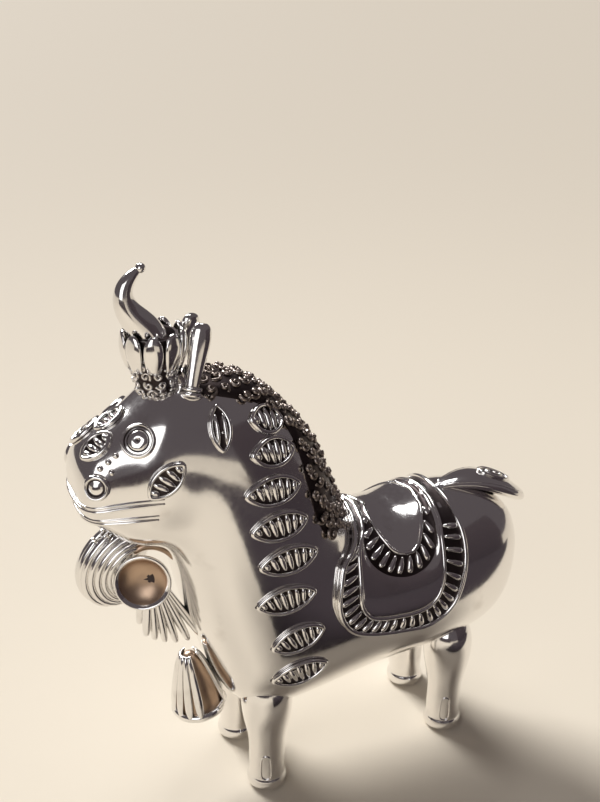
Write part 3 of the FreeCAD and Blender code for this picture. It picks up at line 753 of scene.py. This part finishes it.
def leaf(name, length, width, ribs, slant=10.0, relief=0.9 * MM):
    """A leaf: a dark pan in a raised rim, with lens ribs across it, flat on z = 0."""
    deselect()
    half, rise = length / 2, width / 2
    # the outline is two arcs through both points of the leaf
    radius = (half * half + rise * rise) / (2 * rise)
    outline = []
    steps = 11
    reach = math.asin(half / radius)
    for sign in (1, -1):
        for step in range(steps):
            angle = (reach - 2 * reach * step / steps) * sign
            outline.append(Vector((
                radius * math.sin(angle), sign * (radius * math.cos(angle) - radius + rise), 0)))
    rim = wire("rim", [point * 0.95 + UP * relief * 0.55 for point in outline], relief * 0.5, closed=True)
    bpy.ops.mesh.primitive_circle_add(vertices=len(outline), fill_type="NGON")
    pan = bpy.context.object
    for vertex, point in zip(pan.data.vertices, outline):
        vertex.co = point + UP * relief * 0.3
    bpy.ops.object.mode_set(mode="EDIT")
    bpy.ops.mesh.select_all(action="SELECT")
    bpy.ops.mesh.inset(thickness=width * 0.12)
    bpy.ops.mesh.select_all(action="SELECT")
    bpy.ops.mesh.extrude_region_move(TRANSFORM_OT_translate={"value": (0, 0, -relief * 0.9)})
    bpy.ops.object.mode_set(mode="OBJECT")
    outwards(pan)
    coat(pan, "dark")
    parts = [rim, pan]
    coat(rim, "polished")
    pitch = length * 0.84 / max(ribs, 1)
    for step in range(ribs):
        x = (step - (ribs - 1) / 2) * pitch
        share = 1 - (abs(x) / half) ** 2
        tall = (rise * share - relief * 0.35) * 0.97
        if tall < relief * 0.6:
            continue
        bpy.ops.mesh.primitive_uv_sphere_add(segments=10, ring_count=7)
        rib = bpy.context.object
        rib.scale = (pitch * 0.4, tall, relief * 0.72)
        rib.location = (x, 0, relief * 0.28)
        lean = slant - 26 * x / half
        rib.rotation_euler = (0, 0, math.radians(lean))
        apply_all(rib)
        smooth(rib, 0)
        coat(rib, "polished")
        parts.append(rib)
    return join(parts, name)


class BULL_OT_leaves(bpy.types.Operator):
    """Lay the ribbed leaves on neck, cheek, nose and forehead"""

    bl_idname = "bull.leaves"
    bl_label = "Leaves"

    def execute(self, context):
        sizes = settings()
        column = []
        for x, z, length, turn, ribs in NECK_LEAVES:
            one = leaf("leaf", length * MM, sizes.leaf_width, ribs, relief=sizes.leaf_relief)
            column.append(settle(one, on_skin(x, z, turn)))
        neck = join(column, "neck_leaves")
        both_sides(neck)
        hand_over(neck, sides("neck_leaves"))
        for stem, x, z, length, width, turn, ribs in (
                ("cheek_leaf", -40.8, 89.6, 10.2, 5.4, 41, 5),
                ("nose_leaf", -52.5, 96.0, 7.8, 4.9, 34, 4)):
            one = leaf(stem + "s", length * MM, width * MM, ribs)
            settle(one, on_skin(x, z, turn))
            both_sides(one)
            hand_over(one, sides(stem))
        brow = leaf("brow_leaf", 7.2 * MM, 4.4 * MM, 4)
        settle(brow, on_crest(-48.3))
        hand_over(brow, ("forehead_leaf",))

        lock = leaf("cheek_locks", 10.4 * MM, 4.4 * MM, 0, relief=0.8 * MM)
        bars = [lock]
        for across in (-0.85, 0.85):
            bpy.ops.mesh.primitive_uv_sphere_add(segments=12, ring_count=8)
            bar = bpy.context.object
            bar.scale = (3.6 * MM, 0.5 * MM, 0.7 * MM)
            bar.location = mm(-0.4, across, 0.4)
            apply_all(bar)
            smooth(bar, 0)
            coat(bar, "polished")
            bars.append(bar)
        lock = join(bars, "cheek_locks")
        settle(lock, on_skin(-28.6, 98.2, 88))
        both_sides(lock)
        hand_over(lock, sides("side_lock"))
        return {"FINISHED"}


# Mane


MANE_EDGE = [
    (-30.5, 104.3), (-25.0, 102.8), (-20.5, 101.4), (-16.6, 99.0), (-13.5, 96.0), (-11.6, 92.6),
    (-10.6, 89.5),
    (-10.0, 86.0), (-9.6, 82.0), (-8.9, 78.0), (-8.0, 74.0), (-6.4, 70.2), (-4.4, 67.6),
]
MANE_CREST = [
    -31.0, -27.0, -22.8, -18.6, -14.8, -11.6, -9.0, -6.8, -4.8, -2.9, -1.0, 1.0, 3.2,
]


def mane_point(share, side):
    """A place of the mane: share from ears to saddle, side from -1 left to 1 right."""
    where = share * (len(MANE_EDGE) - 1)
    index = min(int(where), len(MANE_EDGE) - 2)
    mix = where - index
    edge_x = MANE_EDGE[index][0] * (1 - mix) + MANE_EDGE[index + 1][0] * mix
    edge_z = MANE_EDGE[index][1] * (1 - mix) + MANE_EDGE[index + 1][1] * mix
    crest_x = MANE_CREST[index] * (1 - mix) + MANE_CREST[index + 1] * mix
    edge, _ = drop_to_skin(mm(edge_x, -60, edge_z), Vector((0, 1, 0)))
    crest, _ = drop_to_skin(mm(crest_x, -0.01, 160), Vector((0, 0, -1)))
    heart = (edge + crest) * 0.5
    heart.y = 0
    heart = heart + (Vector((crest.x, 0, crest.z)) - heart) * -1.2
    across = abs(side)
    way = (crest - heart).normalized() * (1 - across) + (edge - heart).normalized() * across
    way.normalize()
    point, normal = drop_to_skin(heart + way * 60 * MM, -way)
    if side > 0:
        point.y, normal.y = -point.y, -normal.y
    return point, normal


class BULL_OT_mane(bpy.types.Operator):
    """Lay the mane over the crest, row on row of curls"""

    bl_idname = "bull.mane"
    bl_label = "Mane"

    def execute(self, context):
        deselect()
        rows, columns = 36, 15
        bpy.ops.mesh.primitive_grid_add(x_subdivisions=rows, y_subdivisions=columns, size=2)
        strip = bpy.context.object
        strip.name = "mane_strip"
        for vertex in strip.data.vertices:
            share = (vertex.co.x + 1) / 2
            side = vertex.co.y
            point, normal = mane_point(share, side)
            lift = 0.9 * min(1, (1 - abs(side)) * 6 + 0.15)
            vertex.co = point + normal * lift * MM
        wall = strip.modifiers.new("Wall", "SOLIDIFY")
        wall.thickness = 1.1 * MM
        apply_all(strip)
        outwards(strip)
        smooth(strip, 0, math.radians(60))
        coat(strip, "dark")
        hand_over(strip, ("mane_ridge",))

        curl = curl_shape("curl", settings().curl_radius, 1.7 * MM)
        coat(curl, "antique")
        middle, flank = [], []
        rows = 17
        for row in range(rows):
            share = (row + 0.5) / rows
            spread = mane_point(share, -1)[0] - mane_point(share, 0)[0]
            count = max(3, round(spread.length / (3.0 * MM)))
            for step in range(count + 1):
                side = -(step + 0.45 * (row % 2)) / (count + 0.2)
                if side < -1.02:
                    continue
                point, normal = mane_point(share, side)
                frame_here = skin_frame(point + normal * 0.55 * MM, normal, -60)
                spin = Matrix.Rotation(2.4 * row + 1.7 * step, 4, "Z")
                swell = Matrix.Scale(1.0 + 0.12 * math.sin(5 * row + 3 * step), 4)
                (middle if side > -0.06 else flank).append(copy_of(curl, frame_here @ spin @ swell))
        crest = join(middle, "mane_crest_curls")
        apply_all(crest)
        hand_over(crest, ("mane_curls_crest",))
        side_curls = join(flank, "mane_side_curls")
        both_sides(side_curls)
        hand_over(side_curls, sides("mane_curls"))

        drops = []
        for number in range(15):
            row, step = divmod(number, 3)
            x = -6.6 + 1.9 * row + 0.5 * step
            z = 76.0 - 1.2 * row - 2.3 * step
            point, normal = drop_to_skin(mm(x, -60, z), Vector((0, 1, 0)))
            place = skin_frame(point + normal * 0.5 * MM, normal, -70)
            drops.append(copy_of(curl, place @ Matrix.Scale(0.72, 4)))
        discard(curl)
        tassel = join(drops, "mane_tassels")
        both_sides(tassel)
        hand_over(tassel, sides("mane_tassel"))
        return {"FINISHED"}


# Saddle


OUTER_LINE = [
    (5.4, None), (3.0, 64.4), (1.0, 62.0), (-2.2, 60.0), (-3.6, 55.5), (-4.2, 51.5), (-2.8, 47.0),
    (0.0, 43.9),
    (4.6, 41.9), (9.5, 40.7), (14.6, 39.9), (19.6, 39.4), (24.0, 40.8), (27.2, 43.6), (29.3, 48.0),
    (30.8, 53.5), (31.4, 58.5), (31.0, 62.4), (30.4, None),
]
MIDDLE_LINE = [
    (8.4, None), (6.4, 64.0), (4.4, 62.4), (3.2, 60.6), (2.6, 57.0), (2.3, 53.4), (2.2, 50.2), (4.2, 47.0),
    (7.4, 45.6), (10.8, 45.0), (14.4, 44.6), (17.8, 44.7), (20.8, 45.8), (22.8, 48.0), (24.0, 51.4),
    (24.6, 55.6), (25.2, 59.4), (26.2, 62.6), (27.2, None),
]
RIB_LINE = [
    (9.8, None), (7.4, 64.2), (5.8, 62.8), (5.0, 61.6), (4.9, 60.0), (5.5, 58.2), (6.8, 56.6), (8.4, 55.3),
    (10.2, 54.3), (12.3, 53.6), (14.6, 53.2), (17.0, 53.3), (19.2, 53.9), (21.2, 54.9), (22.8, 56.4),
    (23.8, 58.4), (24.4, 60.8), (25.0, 63.2), (26.0, None),
]
SEAT_LINE = [
    (11.2, None), (9.8, 64.4), (9.8, 63.6), (10.2, 62.6), (10.7, 61.6), (11.3, 60.7), (12.0, 59.8),
    (12.8, 59.0),
    (13.7, 58.5), (14.8, 58.2), (16.0, 58.1), (17.4, 58.2), (18.6, 58.8), (19.6, 59.7), (20.6, 60.9),
    (21.6, 62.2), (22.6, 63.4), (23.6, 64.4), (24.6, None),
]


def over_back(line):
    """A closed loop of skin places: down the left flank by a side-view line, and back."""
    left = []
    for x, z in line:
        if z is None:
            point, _ = drop_to_skin(mm(x, -0.01, 160), Vector((0, 0, -1)))
        else:
            point, _ = drop_to_skin(mm(x, -60, z), Vector((0, 1, 0)))
            if point is None:
                point, _ = drop_to_skin(mm(x, -0.01, 160), Vector((0, 0, -1)))
        left.append(point)
    left[0].y = left[-1].y = 0
    dense = []
    for index in range(len(left) - 1):
        before = left[max(index - 1, 0)]
        a, b = left[index], left[index + 1]
        after = left[min(index + 2, len(left) - 1)]
        for step in range(4):
            t = step / 4
            dense.append(0.5 * (
                a * 2 + (b - before) * t + (before * 2 - a * 5 + b * 4 - after) * t * t
                + (a * 3 - before - b * 3 + after) * t ** 3))
    dense.append(left[-1])
    right = [Vector((point.x, -point.y, point.z)) for point in dense[-2:0:-1]]
    return dense + right


AXIS_HEIGHT = 46 * MM


def from_axis(point):
    """The skin beyond a place, seen from the axis of the barrel."""
    axis = Vector((point.x, 0, AXIS_HEIGHT))
    way = (point - axis).normalized()
    return drop_to_skin(axis + way * 50 * MM, -way)


def ring_between(one, other, share, lift):
    ring = []
    for a, b in zip(one, other):
        point, normal = from_axis(a + (b - a) * share)
        ring.append(point + normal * lift * MM)
    return ring


class BULL_OT_saddle(bpy.types.Operator):
    """Lay the saddle cloth with its cords, ribs and smooth seat"""

    bl_idname = "bull.saddle"
    bl_label = "Saddle"

    def execute(self, context):
        outer, middle = over_back(OUTER_LINE), over_back(MIDDLE_LINE)
        ribs, seat = over_back(RIB_LINE), over_back(SEAT_LINE)
        heart, _ = drop_to_skin(mm(17, -0.01, 160), Vector((0, 0, -1)))
        centre = [heart] * len(seat)
        steps = [
            (outer, middle, 0.0, -0.4), (outer, middle, 0.0, 0.5), (outer, middle, 0.05, 0.75),
            (outer, middle, 0.3, 0.7), (outer, middle, 0.7, 0.7), (outer, middle, 0.94, 0.8),
            (middle, ribs, 0.0, 1.2), (middle, ribs, 0.15, 1.35), (middle, ribs, 0.5, 1.4),
            (middle, ribs, 0.86, 1.3), (middle, ribs, 1.0, 0.9), (ribs, seat, 0.1, 0.75),
            (ribs, seat, 0.9, 0.75), (ribs, seat, 1.0, 1.1), (seat, centre, 0.12, 0.95),
            (seat, centre, 0.4, 0.8), (seat, centre, 0.7, 0.8),
        ]
        rings = [ring_between(*step) for step in steps]
        cloth = loft("saddle_cloth", rings, levels=1, tip=0.6)
        coat(cloth, "polished")
        coat(cloth, "dark")
        self.blacken_bands(cloth, ((outer, middle), (ribs, seat)))
        hand_over(cloth, ("saddle_cloth",))

        for name, node, loop, toward, inset, radius in (
                ("border_cord", "border_cord", outer, middle, 0.06, 0.62),
                ("middle_cord", "middle_cord", middle, outer, 0.02, 0.55),
                ("seat_cord", "seat_cord", seat, ribs, 0.02, 0.45)):
            path = ring_between(loop, toward, inset, 0.95)
            cord = wire(name, path, radius * MM, closed=True)
            hand_over(cord, (node,))

        border = self.rib_band("border_ribs", outer, middle, 26, 0.12, 0.92, 0.3)
        hand_over(border, sides("border_ribs"))
        inner = self.rib_band("seat_ribs", ribs, seat, 13, 0.06, 0.94, 0.0)
        hand_over(inner, sides("seat_ribs"))
        return {"FINISHED"}

    def blacken_bands(self, cloth, bands):
        trees = []
        for one, other in bands:
            points = []
            for share in (0.25, 0.5, 0.75):
                points += ring_between(one, other, share, 0.7)
            trees.append(points)
        for face in cloth.data.polygons:
            near = min(min((face.center - point).length for point in points) for points in trees)
            if near < 0.95 * MM:
                face.material_index = 1

    def rib_band(self, name, outer, inner, count, start, end, shift):
        """Wedge ribs across a band on the left flank, wide at the outer line."""
        pieces = []
        left = (len(outer) + 2) // 2 - 1
        for step in range(count):
            where = (start + (end - start) * step / (count - 1)) * left
            a = self.along(outer, where)
            b = self.along(inner, where + shift)
            foot, foot_normal = from_axis(a + (b - a) * 0.16)
            head, head_normal = from_axis(a + (b - a) * 0.88)
            normal = (foot_normal + head_normal).normalized()
            along = (head - foot).normalized()
            across = normal.cross(along).normalized()
            bpy.ops.mesh.primitive_uv_sphere_add(segments=10, ring_count=8)
            rib = bpy.context.object
            reach = (head - foot).length / 2
            middle = (foot + head) * 0.5
            for vertex in rib.data.vertices:
                x, y, z = vertex.co
                wide = 0.74 * MM * (1 - 0.35 * z) * max(1 - z * z, 0.06) ** -0.2
                vertex.co = (
                    middle + along * (reach * z) + across * (wide * x) + normal * (0.85 * MM + 0.62 * MM * y))
            outwards(rib)
            smooth(rib, 0)
            pieces.append(rib)
        band = join(pieces, name)
        both_sides(band)
        return band

    def along(self, loop, where):
        index = int(where)
        mix = where - index
        return loop[index] * (1 - mix) + loop[index + 1] * mix


# Tail


TAIL_LINE = [
    (30.0, 64.6, 0.5, 0.3), (33.0, 65.4, 1.6, 1.0), (37.0, 65.9, 3.2, 1.6), (42.0, 65.4, 5.0, 2.1),
    (47.0, 63.6, 6.3, 2.3), (51.5, 61.2, 6.4, 2.2), (55.0, 58.9, 5.0, 1.9), (57.0, 57.6, 2.6, 1.2),
]


class BULL_OT_tail(bpy.types.Operator):
    """Fold the tail forward over the rump, with its oval curl"""

    bl_idname = "bull.tail"
    bl_label = "Tail"

    def execute(self, context):
        rings = []
        path = [mm(x, 0, z) for x, z, _, _ in TAIL_LINE]
        for index, point in enumerate(path):
            before, after = path[max(index - 1, 0)], path[min(index + 1, len(path) - 1)]
            along = (after - before).normalized()
            upward = along.cross(LEFT).normalized() * -1
            _, _, wide, deep = TAIL_LINE[index]
            rings.append(oval(point, LEFT, upward, wide * MM, deep * MM, 16))
        tail = loft("tail", rings, levels=2)
        hand_over(tail, ("tail",))
        tree = BVHTree.FromObject(tail, bpy.context.evaluated_depsgraph_get())
        parts = []
        for scale, radius in ((1.0, 0.5), (0.5, 0.42)):
            loop = []
            for step in range(20):
                angle = 2 * math.pi * step / 20
                start = mm(48.4 + 4.3 * scale * math.cos(angle), 2.5 * scale * math.sin(angle), 120)
                point, normal, _, _ = tree.ray_cast(start, Vector((0, 0, -1)))
                loop.append(point + normal * 0.25 * MM)
            parts.append(wire("oval", loop, radius * MM, closed=True))
        for side in (-1, 1):
            rim = []
            for index in range(1, len(TAIL_LINE) - 1):
                x, z, wide, deep = TAIL_LINE[index]
                start = mm(x, side * wide * 0.8, 120)
                point, normal, _, _ = tree.ray_cast(start, Vector((0, 0, -1)))
                if point:
                    rim.append(point + normal * 0.05 * MM)
            parts.append(wire("vein", rim, 0.32 * MM, count=6))
        curl = join(parts, "tail_curl")
        hand_over(curl, ("tail_curl",))
        return {"FINISHED"}


# Chest ornament


FLOWER = (-44.2, 62.0)
RIBBON_FOLDS = [
    (7.6, 96, 226, 2.6, 0.95), (9.0, 92, 232, 2.9, 1.0), (10.4, 98, 238, 2.7, 1.0),
    (11.7, 108, 242, 2.2, 0.95),
    (12.9, 120, 240, 1.4, 0.9), (13.6, 132, 228, 0.6, 0.8),
]
RIBBON_LOOPS = [(8.0, 22, 104, 3.0, 1.3), (10.0, 34, 116, 2.6, 1.35), (12.2, 62, 128, 1.7, 1.15)]
FALL_PLEATS = [
    (258, 16.4, 2.5), (265, 18.0, 2.4), (272, 19.6, 2.2), (279, 21.2, 1.9), (286, 22.6, 1.6),
    (293, 23.8, 1.2),
]


def petal(name, turn, half_turn, rise, girth, wall):
    """A bent petal about Z: girth gives its radius in millimetres at a share of its rise."""
    deselect()
    bpy.ops.mesh.primitive_grid_add(x_subdivisions=6, y_subdivisions=9, size=2)
    piece = bpy.context.object
    piece.name = name
    for vertex in piece.data.vertices:
        across, up = vertex.co.x, (vertex.co.y + 1) / 2
        round_off = math.sqrt(max(1 - max(up - 0.55, 0) ** 2 / 0.2026, 0.0004))
        angle = turn + across * half_turn * round_off * (0.72 + 0.28 * min(up / 0.4, 1))
        radius = girth(up) + 0.35 * (1 - across ** 2)
        vertex.co = mm(radius * math.cos(angle), radius * math.sin(angle), rise * up)
    thick = piece.modifiers.new("Wall", "SOLIDIFY")
    thick.thickness = wall * MM
    thick.offset = 0
    smooth(piece, 1)
    return piece


def pleat(name, root, angle, length, side, girth):
    """A tapered fold that runs out from a root at an angle of the side view."""
    way = Vector((math.cos(math.radians(angle)), 0, math.sin(math.radians(angle))))
    path, radii = [], []
    for share, wide in ((0.0, 0.75), (0.25, 0.8), (0.5, 0.95), (0.75, 1.05), (0.92, 1.0), (1.0, 0.62)):
        sway = side * (0.35 + 0.65 * share)
        path.append(root + way * (length * share * MM) + LEFT * sway * MM)
        radii.append(girth * wide * MM)
    return loft(name, tube_rings(path, radii, 8, flat=1.25), levels=1, tip=0.4)


def fold(centre, reach, start, end, side, girth):
    """A fold of the ribbon: an arc about the bowl that draws in to its rim at the lower end."""
    path, radii = [], []
    for step in range(9):
        share = step / 8
        angle = math.radians(start + (end - start) * share)
        out = 6.4 + (reach - 6.4) * (1 - share ** 4)
        point = centre + mm(out * math.cos(angle), -side * (1 - 0.3 * share), out * math.sin(angle))
        path.append(point)
        radii.append(girth * (0.55 + 0.45 * math.sin(math.pi * min(share * 0.8 + 0.15, 1))) * MM)
    return loft("fold", tube_rings(path, radii, 8, flat=1.3), levels=1, tip=0.4)


class BULL_OT_chest(bpy.types.Operator):
    """Hang the ribbon, the bowls, the pleated fall and the open flower on the chest"""

    bl_idname = "bull.chest"
    bl_label = "Chest ornament"

    def execute(self, context):
        centre = mm(FLOWER[0], 0, FLOWER[1])
        folds = [fold(centre, *shape) for shape in RIBBON_FOLDS]
        loops = [fold(centre, *shape) for shape in RIBBON_LOOPS]
        for loop in loops:
            coat(loop, "warm")
        ribbon = join(folds + loops, "ribbon")
        both_sides(ribbon)
        hand_over(ribbon, ("dewlap_ribbon",))

        bowl = turned("bowls", [
            (0, 0.75), (1.6, 0.72), (3.4, 1.15), (4.9, 2.1), (5.5, 2.9), (5.95, 3.2), (6.35, 2.9),
            (6.25, 2.0),
            (5.2, 0.9), (3.4, -0.1), (0, -0.3),
        ], count=32, levels=1, crease=math.radians(60))
        # Painted shade: the small dark disc off the bowl's middle is blackened faces standing for the shade
        # in a hole; no opening is cut.
        blacken(bowl, lambda p: Vector((p.x - 1.6, p.y + 0.4)).length < 0.95 and p.z > 0.3)
        coat(bowl, "warm")
        for face in bowl.data.polygons:
            if face.material_index == 0 and face.center.to_2d().length < 5.0 * MM and face.normal.z > 0:
                face.material_index = 2
        facing = Vector((-0.38, -0.9, 0.2)).normalized()
        bowl.matrix_world = Matrix.Translation(centre + LEFT * 3.6 * MM) @ UP.rotation_difference(
            facing).to_matrix().to_4x4()
        both_sides(bowl)
        hand_over(bowl, sides("flower_dish"))

        folds = [pleat("fold", centre + mm(2.2, 0, 0.4), angle + 5, length, side, 1.05)
                 for angle, length, side in FALL_PLEATS]
        fall = join(folds, "fall")
        both_sides(fall)
        hand_over(fall, ("dewlap_fall",))

        hand_over(self.flower(), ("dewlap_bell",), finish="polished")
        return {"FINISHED"}

    def flower(self):
        """The open flower: curled petals round a smooth bell, over a thick lip."""
        parts = []
        for angle in (0, 25, -25, 50, -50, 75, -75, 150, -150, 180):
            parts.append(petal(
                "petal", math.radians(angle), 0.19, 16.2,
                lambda up: 1.5 + 4.9 * up ** 0.75 - 5.0 * max(up - 0.86, 0), 0.75))
        core = turned("core", [
            (0, 0), (1.3, 0.3), (2.9, 3.0), (4.1, 6.5), (5.1, 10.5), (5.7, 14.6), (5.0, 15.6), (3.6, 13.5),
            (0, 12.5)], count=28, levels=1)
        coat(core, "warm")
        lip_path = [mm(5.7 * math.cos(turn), 5.7 * math.sin(turn), 15.6)
                    for turn in (2 * math.pi * step / 20 for step in range(20))]
        lip = wire("lip", lip_path, 1.0 * MM, closed=True, count=8)
        flower = join([*parts, core, lip], "open_flower")
        way = Vector((2.6, 0, -17.5)).normalized()
        flower.matrix_world = Matrix.Translation(mm(-33.5, 0, 36.6)) @ UP.rotation_difference(
            way).to_matrix().to_4x4()
        apply_all(flower)
        return flower


# Stage


CAMERA_PLACE = (-101.083, -197.217, 197.068)
CAMERA_RIGHT = (0.90232174, -0.43088649, 0.01234157)
CAMERA_UP = (0.17131559, 0.38473118, 0.90699112)
CAMERA_LENS = 32.918
CAMERA_SENSOR = 24.0
CARD_COLOUR = (0.03, 0.02, 0.025)
STUDIO_COLOUR = (0.10, 0.085, 0.09)
DAYLIGHT_ENERGY = 4.4


class BULL_OT_stage(bpy.types.Operator):
    """Set the pale floor, the dark cards, the soft lights and the camera"""

    bl_idname = "bull.stage"
    bl_label = "Stage"

    def execute(self, context):
        scene = bpy.context.scene
        scene.view_settings.view_transform = "Standard"
        self.floor()
        self.card("right_flag", mm(230, -230, 110), mm(30, 0, 60), 330 * MM, 260 * MM)
        self.card("low_flag", mm(-290, -300, 48), mm(-40, 0, 60), 420 * MM, 96 * MM)
        # Painted shadow: this dark card lies flat on the floor out of view and stands in for a shadow on the
        # floor, which the flank and belly reflect.
        self.card("floor_shadow_card", mm(182, -222, 0.6), mm(182, -222, 90), 394 * MM, 320 * MM)
        heart = mm(-10, 0, 60)
        self.softbox("Key", mm(-300, -300, 230), mm(-60, -60, 30), 240 * MM, 300 * MM, 0.45)
        self.softbox("Top", mm(60, 120, 460), heart, 120 * MM, 160 * MM, 0.4)
        self.daylight()
        world = bpy.data.worlds.new("Studio")
        world.use_nodes = True
        shade = world.node_tree.nodes["Background"]
        shade.inputs["Color"].default_value = (*STUDIO_COLOUR, 1)
        shade.inputs["Strength"].default_value = 1.0
        scene.world = world
        self.camera()
        return {"FINISHED"}

    def floor(self):
        deselect()
        bpy.ops.mesh.primitive_plane_add(size=8.0)
        floor = bpy.context.object
        floor.name = "floor"
        floor.data.materials.append(plain("floor", tuple(settings().backdrop), 0.9))

    def card(self, name, place, target, wide, tall):
        """A dark card out of view, for the silver to reflect."""
        deselect()
        bpy.ops.mesh.primitive_plane_add(size=1.0)
        card = bpy.context.object
        card.name = name
        card.scale = (wide, tall, 1)
        card.rotation_euler = (target - place).to_track_quat("Z", "Y").to_euler()
        card.location = place
        apply_all(card)
        card.data.materials.append(plain(name, CARD_COLOUR, 0.9))

    def daylight(self):
        deselect()
        bpy.ops.object.light_add(type="SUN", rotation=(math.radians(50), 0, math.radians(194)))
        lamp = bpy.context.object
        lamp.name = "Even light"
        lamp.data.energy = DAYLIGHT_ENERGY
        lamp.data.angle = math.radians(24)

    def softbox(self, name, place, target, wide, tall, power):
        deselect()
        bpy.ops.object.light_add(type="AREA", location=place)
        lamp = bpy.context.object
        lamp.name = name
        lamp.data.shape = "RECTANGLE"
        lamp.data.size = wide
        lamp.data.size_y = tall
        lamp.data.energy = power
        lamp.rotation_euler = (target - place).to_track_quat("-Z", "Y").to_euler()

    def camera(self):
        right, upward = Vector(CAMERA_RIGHT), Vector(CAMERA_UP)
        back = right.cross(upward)
        bpy.ops.object.camera_add()
        eye = bpy.context.object
        eye.data.sensor_fit = "VERTICAL"
        eye.data.sensor_height = CAMERA_SENSOR
        eye.data.lens = CAMERA_LENS
        eye.data.clip_start = 0.01
        place = Matrix((right, upward, back)).transposed().to_4x4()
        place.translation = mm(*CAMERA_PLACE)
        eye.matrix_world = place
        bpy.context.scene.camera = eye


OPERATORS = (
    BULL_OT_body, BULL_OT_legs, BULL_OT_horn, BULL_OT_ears, BULL_OT_face, BULL_OT_leaves, BULL_OT_mane,
    BULL_OT_saddle, BULL_OT_tail, BULL_OT_chest, BULL_OT_stage,
)


class BULL_PT_panel(bpy.types.Panel):
    """The pieces of the bull, in the order in which they are made"""

    bl_idname = "BULL_PT_panel"
    bl_label = "Silver Bull"
    bl_space_type = "VIEW_3D"
    bl_region_type = "UI"
    bl_category = "Silver Bull"

    def draw(self, context):
        sizes = context.scene.silver_bull
        for name in ("leaf_width", "leaf_relief", "curl_radius", "backdrop"):
            self.layout.prop(sizes, name)
        for operator in OPERATORS:
            self.layout.operator(operator.bl_idname)


CLASSES = (BullSizes, *OPERATORS, BULL_PT_panel)


def register():
    for item in CLASSES:
        bpy.utils.register_class(item)
    bpy.types.Scene.silver_bull = bpy.props.PointerProperty(type=BullSizes)


def unregister():
    del bpy.types.Scene.silver_bull
    for item in reversed(CLASSES):
        bpy.utils.unregister_class(item)


def main():
    register()
    bpy.ops.bull.body()
    bpy.ops.bull.legs()
    bpy.ops.bull.horn()
    bpy.ops.bull.ears()
    bpy.ops.bull.face()
    bpy.ops.bull.leaves()
    bpy.ops.bull.mane()
    bpy.ops.bull.saddle()
    bpy.ops.bull.tail()
    bpy.ops.bull.chest()
    bpy.ops.bull.stage()


if __name__ == "__main__":
    main()
